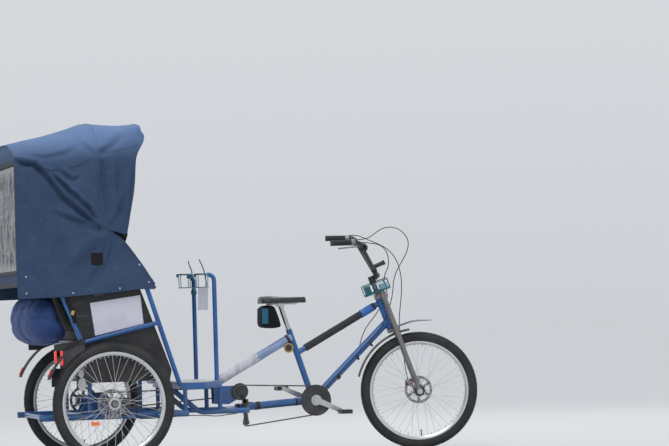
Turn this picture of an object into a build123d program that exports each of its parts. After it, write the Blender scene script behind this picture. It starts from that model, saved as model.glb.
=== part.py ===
from build123d import *
import math
import os

# Cycle rickshaw: a two-seat passenger cab on two 26 inch wheels, drawn by the front half of a bicycle.
# Millimetres, +X forward, +Y to the rider's left, +Z up. Layout places count from the ground point under
# the middle of the rear axle. The last section moves all of it so that the origin is the middle of the box.

# Wheels
WHEEL_RADIUS = 338.0
TYRE_SECTION_RADIUS = 29.0
TYRE_HEIGHT = 53.0
RIM_RADIUS = WHEEL_RADIUS - TYRE_HEIGHT
RIM_DEPTH = 20.0
RIM_WIDTH = 33.0
TRACK = 1050.0
WHEELBASE = 1881.0
SPOKE_COUNT = 36
SPOKE_CROSSES = 3
SPOKE_DIAMETER = 2.6
FLANGE_RADIUS = 34.0
FLANGE_THICKNESS = 3.5
FLANGE_OFFSET = 30.0
SPOKE_OUTSET = 1.8
HUB_BARREL_RADIUS = 17.0
HUB_END = 44.0
REAR_HUB_INNER = 60.0
ROTOR_RADIUS = 80.0
ROTOR_THICKNESS = 2.0
ROTOR_CARRIER = 27.0
ROTOR_BAND = 65.0
ROTOR_ARMS = 6
ROTOR_OFFSET = 54.0
FRONT_ROTOR_OFFSET = 42.0

# Fits
SEAT_GAP = 0.3
PIN_GAP = 0.5
RUN_GAP = 5.0

# Steering head: a straight fork whose legs lie a little ahead of the steering axis
HEAD_LEAN = 20.0
FORK_OFFSET = 24.0
STEER_ANGLE = -12.0
LEG_SPREAD = 65.0
LEG_LOWER_RADIUS = 13.5
LEG_UPPER_RADIUS = 16.5
WHEEL_TO_CROWN = 34.0
LOWER_CROWN = WHEEL_RADIUS + WHEEL_TO_CROWN
LEG_JOIN = LOWER_CROWN - 87.0
CROWN_HEIGHT = 24.0
HEAD_TUBE_BOTTOM = LOWER_CROWN + CROWN_HEIGHT + 6.0
HEAD_TUBE_LENGTH = 176.0
HEAD_TUBE_RADIUS = 23.0
STEERER_RADIUS = 14.0
UPPER_CROWN = HEAD_TUBE_BOTTOM + HEAD_TUBE_LENGTH + 5.0
LEG_TOP = UPPER_CROWN + CROWN_HEIGHT + 5.0
STEM_RISE = 99.0
STEM_HEIGHT = LEG_TOP + STEM_RISE
STEM_REACH = 32.0
BAR_RADIUS = 12.7
GRIP_RADIUS = 16.0
GRIP_LENGTH = 115.0
FRONT_AXLE_RADIUS = 5.0

# Bicycle frame
WHEEL_TO_CRANK = 293.0
FRONT_CENTRE = WHEEL_RADIUS + WHEEL_TO_CRANK
CRANK_X = WHEELBASE - FRONT_CENTRE
CRANK_Z = 304.0
SHELL_RADIUS = 25.0
SHELL_HALF = 36.0
SEAT_TUBE_LEAN = 18.0
SEAT_TUBE_TOP = 712.0
SEAT_TUBE_RADIUS = 17.5
TOP_TUBE_RADIUS = 16.0
TOP_TUBE_LOW = 575.0
SLEEVE_RADIUS = 21.0
DOWN_TUBE_RADIUS = 22.0
UPPER_BOOM_RADIUS = 25.0
UPPER_BOOM_TOP = 668.0
LOWER_BOOM_RADIUS = 22.0

# Drive
CHAIN_PITCH = 12.7
CHAIN_WIDTH = 6.5
LINK_HALF = 4.3
LINK_WAIST = 3.1
CHAIN_Y = -62.0
CHAINRING_TEETH = 40
COG_TEETH = 18
CRANK_LENGTH = 165.0
CRANK_ANGLE = -24.5
JACKSHAFT_X = 811.0
JACKSHAFT_Z = 368.0
DRIVE_COG_TEETH = 12
AXLE_COG_TEETH = 24
REAR_CHAIN_Y = 20.0

# Chassis
WHEEL_TO_RAIL = 125.0
RAIL_Y = TRACK / 2 - WHEEL_TO_RAIL
RAIL_Z = 268.0
RAIL_RADIUS = 17.5
RAIL_REAR = -395.0
RAIL_FRONT = 440.0
SPINE_Y = 185.0
SPINE_Z = 265.0
SPINE_RADIUS = 15.0
DECK_TOP = 440.0
DECK_FRAME_HEIGHT = 35.0
DECK_FRAME_WIDTH = 28.0
DECK_THICKNESS = 4.0
DECK_REAR_X = 396.0
DECK_SHOULDER_X = 540.0
DECK_FRONT_X = 680.0

# Cab
WHEEL_TO_FRAME = 75.0
FRAME_Y = TRACK / 2 - WHEEL_TO_FRAME
FRAME_RADIUS = 13.0
PANEL_THICKNESS = 12.0
BOX_BOTTOM = 455.0
BOX_INSET = 4.0
CANOPY_HALF = FRAME_Y + 25.0
CANOPY_WALL = 6.0
CANOPY_REAR_X = -499.0

AXLE_RADIUS = 12.0


def rod(start, end, radius):
    """A round bar from one point to another."""
    a = Vector(*start)
    b = Vector(*end)
    return extrude(Plane(origin=a, z_dir=b - a) * Circle(radius), amount=(b - a).length)


def sleeve(start, end, radius, bore):
    """A round bar with a hole along it."""
    a = Vector(*start)
    b = Vector(*end)
    return extrude(Plane(origin=a, z_dir=b - a) * (Circle(radius) - Circle(bore)), amount=(b - a).length)


def bent_bar(points, radius, bends):
    """A round bar along straight runs, with an arc of the given radius at each corner."""
    path = FilletPolyline(*points, radius=bends)
    return sweep(Plane(origin=path @ 0, z_dir=path % 0) * Circle(radius), path=path)


def side_plate(outline, y_low, y_high):
    """A plate whose outline is given as x and z, between two places across the vehicle."""
    face = make_face(Polyline(*[(x, y_low, z) for x, z in outline], close=True))
    return extrude(face, amount=y_high - y_low, dir=(0, 1, 0))


def flat_plate(outline, z_low, z_high):
    """A plate whose outline is given as x and y, between two heights."""
    face = make_face(Polyline(*[(x, y, z_low) for x, y in outline], close=True))
    return extrude(face, amount=z_high - z_low, dir=(0, 0, 1))


def turned(profile):
    """A ring or hub about the Y axis from radius and axial place pairs."""
    return revolve(make_face(Polyline(*[(r, y, 0) for r, y in profile], close=True)), Axis.Y)


def both_sides(shape):
    """A piece and its mirror image across the vehicle's middle plane."""
    return [shape, mirror(shape, about=Plane.XZ)]


def group(pieces):
    """Several separate pieces kept as one node."""
    return Compound(children=list(pieces))


# The steering axis, through a point level with the front axle
LEAN = math.radians(HEAD_LEAN)
AHEAD = Vector(math.cos(LEAN), 0, math.sin(LEAN))
ALONG = Vector(-math.sin(LEAN), 0, math.cos(LEAN))
STRAIGHT_WHEEL = Vector(WHEELBASE, 0, WHEEL_RADIUS)
HEAD_FOOT = STRAIGHT_WHEEL - AHEAD * FORK_OFFSET
HEAD_AXIS = Axis(HEAD_FOOT, ALONG)


def head_point(ahead, left, along):
    """A place given from the steering axis, with the wheel pointing straight on."""
    return HEAD_FOOT + AHEAD * ahead + Vector(0, left, 0) + ALONG * along


def steered(shape):
    """A piece of the steered assembly, turned with the handlebar."""
    return shape.rotate(HEAD_AXIS, STEER_ANGLE)


def spoke_set():
    """Crossed spokes between the two hub flanges and the rim, heads in and heads out by turns."""
    hole_radius = FLANGE_RADIUS - 4.5
    rim_inner = RIM_RADIUS - RIM_DEPTH - SEAT_GAP
    per_side = SPOKE_COUNT // 2
    step = 360.0 / per_side
    beside_flange = FLANGE_THICKNESS / 2 + SPOKE_DIAMETER / 2 + SEAT_GAP
    spokes = []
    for side in (1, -1):
        for i in range(per_side):
            trailing = 1 if i % 2 == 0 else -1
            hub_angle = math.radians(i * step + (side < 0) * step / 2)
            rim_angle = hub_angle + math.radians(trailing * SPOKE_CROSSES * step)
            outset = SPOKE_OUTSET if trailing > 0 else 0.0
            hub_y = side * (FLANGE_OFFSET + trailing * beside_flange + outset)
            start = Vector(hole_radius * math.cos(hub_angle), hub_y, hole_radius * math.sin(hub_angle))
            end = Vector(rim_inner * math.cos(rim_angle), side * 3.0, rim_inner * math.sin(rim_angle))
            section = Plane(origin=start, z_dir=end - start) * RegularPolygon(SPOKE_DIAMETER / 2, 6)
            spokes.append(extrude(section, amount=(end - start).length))
    return spokes


def rim():
    """A box-section rim whose outer lips hold the tyre."""
    inner = RIM_RADIUS - RIM_DEPTH
    lip = RIM_WIDTH / 2
    return turned([
        (RIM_RADIUS, lip), (RIM_RADIUS, -lip), (RIM_RADIUS - 9, -lip), (inner + 1, -9), (inner, -6),
        (inner, 6), (inner + 1, 9), (RIM_RADIUS - 9, lip),
    ])


def tyre():
    """A fat round tyre seated on the rim's lips."""
    centre = WHEEL_RADIUS - TYRE_SECTION_RADIUS
    section = Pos(centre, 0) * Circle(TYRE_SECTION_RADIUS)
    cut = Pos(RIM_RADIUS + SEAT_GAP - 20, 0) * Rectangle(40, 80)
    return revolve(section - cut, Axis.Y)


def hub_profile(bore, inboard_end, outboard_end, rotor_y):
    """Half section of a hub: bore, inner end, flange, barrel, flange, outer end, with a brake disc inboard."""
    half = FLANGE_THICKNESS / 2
    disc = ROTOR_THICKNESS / 2
    return [
        (bore, inboard_end), (14, inboard_end), (14, rotor_y - disc), (ROTOR_RADIUS, rotor_y - disc),
        (ROTOR_RADIUS, rotor_y + disc), (HUB_BARREL_RADIUS, rotor_y + disc),
        (HUB_BARREL_RADIUS, -FLANGE_OFFSET - half), (FLANGE_RADIUS, -FLANGE_OFFSET - half),
        (FLANGE_RADIUS, -FLANGE_OFFSET + half), (HUB_BARREL_RADIUS, -FLANGE_OFFSET + half),
        (HUB_BARREL_RADIUS, FLANGE_OFFSET - half), (FLANGE_RADIUS, FLANGE_OFFSET - half),
        (FLANGE_RADIUS, FLANGE_OFFSET + half), (HUB_BARREL_RADIUS, FLANGE_OFFSET + half),
        (HUB_BARREL_RADIUS - 2, outboard_end), (bore, outboard_end),
    ]


def rotor_windows(rotor_y):
    """Six openings between the arms of a brake disc at a place along the axle."""
    windows = []
    for i in range(ROTOR_ARMS):
        middle = 360.0 * i / ROTOR_ARMS
        corners = [(ROTOR_CARRIER, a) for a in (-15, 0, 15)] + [(ROTOR_BAND, a) for a in (22, 11, 0, -11, -22)]
        outline = [(r * math.cos(math.radians(middle + a)), r * math.sin(math.radians(middle + a)))
                   for r, a in corners]
        windows.append(side_plate(outline, rotor_y - ROTOR_THICKNESS, rotor_y + ROTOR_THICKNESS))
    return windows


def ring_sector(section, start, end):
    """A section given as radius and axial place, swept about the wheel's axis between two angles."""
    return revolve(section, Axis.Y, revolution_arc=end - start).rotate(Axis.Y, -end)


nodes = {}

# Rear wheels: each hub carries its half of the live axle
REAR_WHEELS = (("left", 1), ("right", -1))
DIFF_HALF = 48.0
for name, side in REAR_WHEELS:
    place = Pos(0, side * TRACK / 2, WHEEL_RADIUS)
    hub = turned(hub_profile(0, -REAR_HUB_INNER, HUB_END, -ROTOR_OFFSET))
    shaft_end = DIFF_HALF + SEAT_GAP - TRACK / 2
    hub += rod((0, -REAR_HUB_INNER, 0), (0, shaft_end, 0), AXLE_RADIUS)
    hub -= rotor_windows(-ROTOR_OFFSET)
    turn = Rot(0, 0, 0) if side > 0 else Rot(0, 0, 180)
    nodes[f"rear_tyre_{name}"] = place * tyre()
    nodes[f"rear_rim_{name}"] = place * turn * group([rim(), *spoke_set()])
    nodes[f"rear_hub_{name}"] = place * turn * hub

# Front wheel, turned with the fork
front_place = Pos(*STRAIGHT_WHEEL)
FRONT_HUB_END = LEG_SPREAD - LEG_LOWER_RADIUS - 1.5
front_hub = mirror(turned(hub_profile(
    FRONT_AXLE_RADIUS + PIN_GAP, -FRONT_HUB_END, FRONT_HUB_END, -FRONT_ROTOR_OFFSET)), about=Plane.XZ)
front_hub -= rotor_windows(FRONT_ROTOR_OFFSET)
nodes["front_tyre"] = steered(front_place * tyre())
nodes["front_rim"] = steered(front_place * group([rim(), *spoke_set()]))
nodes["front_hub"] = steered(front_place * front_hub)

# Fork: two straight legs, two crowns, the steerer and the axle
leg = rod(head_point(FORK_OFFSET, LEG_SPREAD, -14), head_point(FORK_OFFSET, LEG_SPREAD, LEG_JOIN),
          LEG_LOWER_RADIUS)
leg += rod(head_point(FORK_OFFSET, LEG_SPREAD, LEG_JOIN), head_point(FORK_OFFSET, LEG_SPREAD, LEG_TOP),
           LEG_UPPER_RADIUS)
crown_sketch = make_hull(
    Circle(26).edges()
    + (Pos(FORK_OFFSET, LEG_SPREAD) * Circle(21)).edges()
    + (Pos(FORK_OFFSET, -LEG_SPREAD) * Circle(21)).edges()
)
fork = leg + mirror(leg, about=Plane.XZ)
for height in (LOWER_CROWN, UPPER_CROWN):
    fork += extrude(Plane(origin=head_point(0, 0, height), x_dir=AHEAD, z_dir=ALONG) * crown_sketch,
                    amount=CROWN_HEIGHT)
fork += rod(head_point(0, 0, LOWER_CROWN + 4), head_point(0, 0, STEM_HEIGHT - 20), STEERER_RADIUS)
axle_half = LEG_SPREAD + LEG_LOWER_RADIUS + 6
fork += rod(STRAIGHT_WHEEL - Vector(0, axle_half, 0), STRAIGHT_WHEEL + Vector(0, axle_half, 0),
            FRONT_AXLE_RADIUS)
nodes["fork"] = steered(fork)

# Handlebar: a tall bar on a stem, its grips swept back
clamp = head_point(STEM_REACH, 0, STEM_HEIGHT)
GRIP_BEND = clamp + Vector(-110, 256, 204)
GRIP_END = clamp + Vector(-274, 288, 204)
right_bend = Vector(GRIP_BEND.X, -GRIP_BEND.Y, GRIP_BEND.Z)
right_end = Vector(GRIP_END.X, -GRIP_END.Y, GRIP_END.Z)
bar = bent_bar(
    [right_end, right_bend, clamp - Vector(0, 60, 0), clamp + Vector(0, 60, 0), GRIP_BEND, GRIP_END],
    BAR_RADIUS, [38, 45, 45, 38])
stem = sleeve(head_point(0, 0, STEM_HEIGHT - 40), head_point(0, 0, STEM_HEIGHT + 4), 20,
              STEERER_RADIUS + SEAT_GAP)
stem += rod(head_point(17, 0, STEM_HEIGHT - 18), head_point(STEM_REACH, 0, STEM_HEIGHT - 4), 13)
stem += rod(clamp - Vector(0, 24, 0), clamp + Vector(0, 24, 0), 19)
stem -= rod(head_point(0, 0, STEM_HEIGHT - 60), head_point(0, 0, STEM_HEIGHT - 19.7),
            STEERER_RADIUS + SEAT_GAP)
nodes["handlebar"] = steered(bar + stem)

grip_direction = (GRIP_END - GRIP_BEND).normalized()
LEVER_GAP = 4.0
COLLAR_LENGTH = 22.0
COLLAR_RADIUS = 18.0
grips = []
levers = []
collar_ends = {}
for side in (1, -1):
    end = Vector(GRIP_END.X, side * GRIP_END.Y, GRIP_END.Z)
    back = Vector(grip_direction.X, side * grip_direction.Y, grip_direction.Z)
    grips.append(sleeve(end - back * GRIP_LENGTH, end, GRIP_RADIUS, BAR_RADIUS + SEAT_GAP))
    inner = end - back * (GRIP_LENGTH + LEVER_GAP)
    collar_end = inner - back * COLLAR_LENGTH
    root = inner - back * 11 + Vector(12, side * 10, -16)
    tip = root + back * 105 + Vector(4, side * 26, -14)
    levers.append(sleeve(collar_end, inner, COLLAR_RADIUS, BAR_RADIUS + SEAT_GAP)
                  + bent_bar([root, root + Vector(14, side * 16, -6), tip], 4.5, 5))
    collar_ends[side] = (collar_end, back * -1)
nodes["grips"] = steered(group(grips))
nodes["brake_levers"] = steered(group(levers))

# Bell and small lamp, each on its own clamp on the right half of the bar
bar_side = clamp - Vector(0, 60, 0)
bar_rise = (right_bend - bar_side).normalized()
bar_above = (Vector(0, 0, 1) - bar_rise * bar_rise.Z).normalized()
bar_line = rod(bar_side + bar_rise * 25, right_bend - bar_rise * 25, BAR_RADIUS + SEAT_GAP)
BELL_RADIUS = 28.0
LAMP_RADIUS = 12.0
bell_base = right_bend - bar_rise * 56
bell = rod(bell_base - bar_rise * 8, bell_base + bar_rise * 8, BAR_RADIUS + 4)
bell += rod(bell_base, bell_base + bar_above * (BAR_RADIUS + 8), 7)
bell_seat = bell_base + bar_above * (BAR_RADIUS + 6)
bell += Plane(origin=bell_seat, z_dir=bar_above).location * Sphere(BELL_RADIUS, arc_size1=0)
bell += rod(bell_seat - bar_above * 3, bell_seat, BELL_RADIUS - 2)
LAMP_AXIS = Vector(0.92, 0, 0.39)
lamp_base = bar_side + bar_rise * 48
lamp_lift = bar_rise.cross(LAMP_AXIS).normalized()
lamp_lift = lamp_lift if lamp_lift.Z > 0 else lamp_lift * -1
lamp_centre = lamp_base + lamp_lift * (BAR_RADIUS + LAMP_RADIUS + 3)
lamp = rod(lamp_base - bar_rise * 8, lamp_base + bar_rise * 8, BAR_RADIUS + 4)
lamp += rod(lamp_base, lamp_centre, 7)
lamp += rod(lamp_centre - LAMP_AXIS * 8, lamp_centre + LAMP_AXIS * 62, LAMP_RADIUS)
lamp += rod(lamp_centre + LAMP_AXIS * 62, lamp_centre + LAMP_AXIS * 76, LAMP_RADIUS + 2)
nodes["bar_fittings"] = steered(group([bell - bar_line, lamp - bar_line]))

# Wire cage round the steerer, above the fork's legs
CAGE_LOW = LEG_TOP + 4
CAGE_HIGH = CAGE_LOW + 58
CAGE_WIRE = 3.0
CAGE_REACH = (-74.0, 82.0)
CAGE_HALF = 52.0
cage = None
for height in (CAGE_LOW + CAGE_WIRE, CAGE_HIGH):
    corners = [head_point(ahead, left, height) for ahead, left in (
        (CAGE_REACH[1], CAGE_HALF), (CAGE_REACH[0], CAGE_HALF), (CAGE_REACH[0], -CAGE_HALF),
        (CAGE_REACH[1], -CAGE_HALF))]
    loop = FilletPolyline(*corners, radius=14, close=True)
    wire = sweep(Plane(origin=loop @ 0, z_dir=loop % 0) * Circle(CAGE_WIRE), path=loop)
    cage = wire if cage is None else cage + wire
for ahead, left in ((60, CAGE_HALF), (4, CAGE_HALF), (-50, CAGE_HALF), (60, -CAGE_HALF), (4, -CAGE_HALF),
                    (-50, -CAGE_HALF), (CAGE_REACH[1], 18), (CAGE_REACH[1], -18), (CAGE_REACH[0], 0)):
    cage += rod(head_point(ahead, left, CAGE_LOW + CAGE_WIRE), head_point(ahead, left, CAGE_HIGH),
                CAGE_WIRE - 0.4)
cage += rod(head_point(CAGE_REACH[0], 0, CAGE_LOW + CAGE_WIRE),
            head_point(CAGE_REACH[1], 0, CAGE_LOW + CAGE_WIRE), CAGE_WIRE - 0.4)
cage += rod(head_point(0, 0, CAGE_LOW), head_point(0, 0, CAGE_LOW + 14), STEERER_RADIUS + 5)
cage -= rod(head_point(0, 0, CAGE_LOW - 20), head_point(0, 0, CAGE_LOW + 40), STEERER_RADIUS + SEAT_GAP)
nodes["wire_cage"] = steered(cage)

# Front mudguard: a part close round the rear of the wheel, hung from the lower crown, and a blade ahead
GUARD_GAP = 22.0
guard_radius = WHEEL_RADIUS + GUARD_GAP
GUARD_THICKNESS = 2.5
front_guard = front_place * ring_sector(
    Pos(guard_radius + GUARD_THICKNESS / 2, 0) * Rectangle(GUARD_THICKNESS, 50), 98, 166)
front_guard += rod(head_point(FORK_OFFSET, 0, guard_radius + 1),
                   head_point(FORK_OFFSET, 0, LOWER_CROWN - SEAT_GAP), 8)
BLADE_ROOT = 45.0 + SEAT_GAP
BLADE_REACH = 236.0
BLADE_HALF = 25.0
blade_line = [(BLADE_ROOT, 392), (140, 385), (BLADE_REACH, 352)]
blade_low = [head_point(ahead, -BLADE_HALF, along) for ahead, along in blade_line]
blade_high = [place + ALONG * GUARD_THICKNESS for place in blade_low]
front_blade = extrude(make_face([
    ThreePointArc(*blade_low), Line(blade_low[2], blade_high[2]), ThreePointArc(*reversed(blade_high)),
    Line(blade_high[0], blade_low[0])]), amount=2 * BLADE_HALF, dir=(0, 1, 0))
blade_plan = [(BLADE_ROOT, -BLADE_HALF), (150, -BLADE_HALF), (205, -19), (BLADE_REACH, -8)]
blade_plan += [(ahead, -left) for ahead, left in reversed(blade_plan)]
plan_plane = Plane(origin=head_point(0, 0, LOWER_CROWN - 40), x_dir=AHEAD, z_dir=ALONG)
front_blade &= extrude(plan_plane * make_face(Polyline(*blade_plan, close=True)), amount=80)
front_blade += extrude(Plane(origin=head_point(BLADE_ROOT + 2, 0, LOWER_CROWN + 3), x_dir=AHEAD, z_dir=ALONG)
                       * Rectangle(4, 2 * BLADE_HALF), amount=CROWN_HEIGHT - 4)
nodes["front_mudguard"] = group([steered(front_guard), steered(front_blade)])

# Front brake caliper behind the left leg, straddling the disc
caliper_place = STRAIGHT_WHEEL + Vector(-54, FRONT_ROTOR_OFFSET + 5, 42)
front_caliper = Pos(*caliper_place) * Box(44, 24, 34)
front_caliper -= Pos(STRAIGHT_WHEEL.X, FRONT_ROTOR_OFFSET, WHEEL_RADIUS) * (
    Rot(90, 0, 0) * Cylinder(ROTOR_RADIUS + RUN_GAP, ROTOR_THICKNESS + 6))
front_caliper -= rod(head_point(FORK_OFFSET, LEG_SPREAD, -40), head_point(FORK_OFFSET, LEG_SPREAD, 300),
                     LEG_LOWER_RADIUS + SEAT_GAP)
nodes["front_caliper"] = steered(front_caliper)

# Bicycle frame
lean = math.tan(math.radians(SEAT_TUBE_LEAN))


def seat_tube_point(z, y=0.0):
    """A place on the seat tube's axis, extended, at a height."""
    return Vector(CRANK_X - lean * (z - CRANK_Z), y, z)


crank_centre = Vector(CRANK_X, 0, CRANK_Z)
head_low = head_point(0, 0, HEAD_TUBE_BOTTOM)
head_high = head_point(0, 0, HEAD_TUBE_BOTTOM + HEAD_TUBE_LENGTH)
top_tube_start = head_point(0, 0, HEAD_TUBE_BOTTOM + HEAD_TUBE_LENGTH - 22)
down_tube_start = head_point(0, 0, HEAD_TUBE_BOTTOM + 38)
frame = rod(crank_centre - Vector(0, SHELL_HALF, 0), crank_centre + Vector(0, SHELL_HALF, 0), SHELL_RADIUS)
frame += rod(crank_centre, seat_tube_point(SEAT_TUBE_TOP), SEAT_TUBE_RADIUS)
frame += rod(crank_centre, down_tube_start, DOWN_TUBE_RADIUS)
frame += rod(seat_tube_point(TOP_TUBE_LOW), top_tube_start, TOP_TUBE_RADIUS)
frame += rod(head_low, head_high, HEAD_TUBE_RADIUS)
frame += rod(head_point(0, 0, LOWER_CROWN + CROWN_HEIGHT + PIN_GAP), head_low, HEAD_TUBE_RADIUS + 2)
frame += rod(head_high, head_point(0, 0, UPPER_CROWN - PIN_GAP), HEAD_TUBE_RADIUS + 2)
frame -= rod(head_point(0, 0, LOWER_CROWN), head_point(0, 0, UPPER_CROWN + 10), STEERER_RADIUS + PIN_GAP)
SPINDLE_RADIUS = 9.0
frame -= rod(crank_centre - Vector(0, SHELL_HALF + 5, 0), crank_centre + Vector(0, SHELL_HALF + 5, 0),
             SPINDLE_RADIUS + PIN_GAP)
POST_RADIUS = 13.6
frame -= rod(seat_tube_point(SEAT_TUBE_TOP - 90), seat_tube_point(SEAT_TUBE_TOP + 10), POST_RADIUS + SEAT_GAP)
nodes["bike_frame"] = frame

# Foam sleeve on the top tube
top_line = seat_tube_point(TOP_TUBE_LOW) - top_tube_start
nodes["top_tube_sleeve"] = sleeve(top_tube_start + top_line * 0.075, top_tube_start + top_line * 0.9,
                                  SLEEVE_RADIUS, TOP_TUBE_RADIUS + SEAT_GAP)

# Saddle on its post, with a bag strapped below
SADDLE_Z = 868.0
post_top = seat_tube_point(SADDLE_Z - 14)
post = rod(seat_tube_point(SEAT_TUBE_TOP - 85), post_top, POST_RADIUS)
SADDLE_RAIL_RADIUS = 4.0
for y in (-22, 22):
    post += rod(post_top + Vector(-75, y, SADDLE_RAIL_RADIUS), post_top + Vector(95, y, SADDLE_RAIL_RADIUS),
                SADDLE_RAIL_RADIUS)
post += Pos(*(post_top + Vector(0, 0, -2))) * Box(40, 56, 18)
nodes["saddle_post"] = post
saddle_outline = [(-120, 72), (-60, 82), (0, 48), (60, 22), (140, 16), (150, 0)]
saddle_outline += [(x, -y) for x, y in reversed(saddle_outline[:-1])]
saddle_points = [(post_top.X + x, y) for x, y in saddle_outline]
nodes["saddle"] = flat_plate(saddle_points, SADDLE_Z + SEAT_GAP - 6, SADDLE_Z + 34)
bag_top = post_top.Z - SEAT_GAP
bag_points = [(post_top.X - 128, bag_top - 112), (post_top.X - 122, bag_top - 12), (post_top.X - 104, bag_top),
              (post_top.X - 42, bag_top), (post_top.X + 2, bag_top - 130), (post_top.X - 96, bag_top - 132)]
nodes["saddle_bag"] = side_plate(bag_points, -62, 62)

# Booms that join the bicycle frame to the footboard and the cab's spine
upper_start = Vector(DECK_FRONT_X + 8, 0, 426)
upper_boom = rod(upper_start, seat_tube_point(UPPER_BOOM_TOP), UPPER_BOOM_RADIUS)
upper_boom -= rod(crank_centre, seat_tube_point(SEAT_TUBE_TOP + 20), SEAT_TUBE_RADIUS + SEAT_GAP)
nodes["upper_boom"] = upper_boom.solids().sort_by(SortBy.VOLUME)[-1]
SPINE_CROSS_X = 780.0
SPINE_CROSS_RADIUS = 13.0
LOWER_START = Vector(SPINE_CROSS_X + SPINE_CROSS_RADIUS + SEAT_GAP, 0, 275)
lower_boom = rod(LOWER_START, crank_centre, LOWER_BOOM_RADIUS)
lower_boom -= rod(crank_centre - Vector(0, 60, 0), crank_centre + Vector(0, 60, 0), SHELL_RADIUS + SEAT_GAP)
lower_boom -= rod(crank_centre, seat_tube_point(SEAT_TUBE_TOP), SEAT_TUBE_RADIUS + SEAT_GAP)
nodes["lower_boom"] = lower_boom.solids().sort_by(SortBy.VOLUME)[-1]

# Crankset: ring, guard, arms and spindle
ring_radius = CHAINRING_TEETH * CHAIN_PITCH / (2 * math.pi)


def disc(centre, y_low, y_high, radius):
    """A flat disc on an axle across the vehicle."""
    return rod((centre[0], y_low, centre[1]), (centre[0], y_high, centre[1]), radius)


crank = disc((CRANK_X, CRANK_Z), CHAIN_Y - 1.5, CHAIN_Y + 1.5, ring_radius - LINK_HALF - 0.7)
crank += disc((CRANK_X, CRANK_Z), CHAIN_Y - 10, CHAIN_Y - 7, ring_radius + 6)
crank += disc((CRANK_X, CRANK_Z), CHAIN_Y - 22, CHAIN_Y + 1, 30)
ARM_Y = -CHAIN_Y + 24
crank += disc((CRANK_X, CRANK_Z), -ARM_Y - 12, ARM_Y + 12, SPINDLE_RADIUS)
angle = math.radians(CRANK_ANGLE)
reach = Vector(math.cos(angle), 0, math.sin(angle)) * CRANK_LENGTH
PEDAL_GAP = 6.0
for side in (-1, 1):
    inner = side * ARM_Y
    end = crank_centre + reach * -side
    arm_sketch = make_hull(Circle(17).edges() + (Pos(CRANK_LENGTH, 0) * Circle(12)).edges())
    arm_plane = Plane(origin=crank_centre + Vector(0, inner, 0), x_dir=reach * -side, z_dir=(0, side, 0))
    crank += extrude(arm_plane * arm_sketch, amount=12)
    crank += rod(end + Vector(0, inner + side * 10, 0), end + Vector(0, inner + side * 80, 0), 5)
nodes["crankset"] = crank
for name, side in (("left", 1), ("right", -1)):
    end = crank_centre + reach * -side + Vector(0, side * (ARM_Y + 12 + PEDAL_GAP), 0)
    body = Pos(end.X, end.Y + side * 46, end.Z) * Box(64, 92, 22)
    body -= rod(end - Vector(0, side * 5, 0), end + Vector(0, side * 80, 0), 5 + PIN_GAP)
    for slot in (-1, 1):
        body -= Pos(end.X + slot * 20, end.Y + side * 46, end.Z) * Box(16, 74, 30)
    nodes[f"pedal_{name}"] = body

# Chains: loops over round sprockets, each link waisted between its pins


def wrap(circles):
    """Points one link apart round circles in order; each row is x, z, radius and turning sense."""
    count = len(circles)
    tangents = []
    for i in range(count):
        x0, z0, r0, s0 = circles[i]
        x1, z1, r1, s1 = circles[(i + 1) % count]
        dx, dz = x1 - x0, z1 - z0
        length = math.hypot(dx, dz)
        base = math.atan2(dz, dx)
        offset = math.asin((s0 * r0 - s1 * r1) / length)
        normal = base + offset + math.pi / 2
        tangents.append((
            (x0 - s0 * r0 * math.cos(normal), z0 - s0 * r0 * math.sin(normal)),
            (x1 - s1 * r1 * math.cos(normal), z1 - s1 * r1 * math.sin(normal)),
        ))
    runs = []
    for i in range(count):
        x, z, r, s = circles[i]
        arrive = tangents[i - 1][1]
        leave = tangents[i][0]
        a0 = math.atan2(arrive[1] - z, arrive[0] - x)
        a1 = math.atan2(leave[1] - z, leave[0] - x)
        sweep_angle = (a1 - a0) % (2 * math.pi) if s > 0 else -((a0 - a1) % (2 * math.pi))
        runs.append(("arc", (x, z, r, a0, sweep_angle), abs(sweep_angle) * r))
        start, end = tangents[i]
        runs.append(("line", (start, end), math.dist(start, end)))
    total = sum(run[2] for run in runs)
    links = 2 * round(total / CHAIN_PITCH / 2)
    points = []
    for k in range(2 * links):
        left = total * k / (2 * links)
        for kind, data, length in runs:
            if left > length:
                left -= length
                continue
            if kind == "line":
                (xa, za), (xb, zb) = data
                t = left / length
                points.append((xa + (xb - xa) * t, za + (zb - za) * t, math.atan2(zb - za, xb - xa)))
            else:
                x, z, r, a0, turn_angle = data
                a = a0 + turn_angle * left / length
                heading = a + math.copysign(math.pi / 2, turn_angle)
                points.append((x + r * math.cos(a), z + r * math.sin(a), heading))
            break
    return points


def chain(circles, y):
    """A closed roller chain seen as its side plates: full height at each pin, waisted between."""
    points = wrap(circles)
    edges = []
    for sign in (1, -1):
        edge = []
        for k, (x, z, heading) in enumerate(points):
            half = sign * (LINK_HALF if k % 2 == 0 else LINK_WAIST)
            edge.append((x - half * math.sin(heading), y - CHAIN_WIDTH / 2, z + half * math.cos(heading)))
        edges.append(make_face(Polyline(*edge, close=True)))
    large, small = sorted(edges, key=lambda face: -face.area)
    return extrude(large - small, amount=CHAIN_WIDTH, dir=(0, 1, 0))


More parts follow.
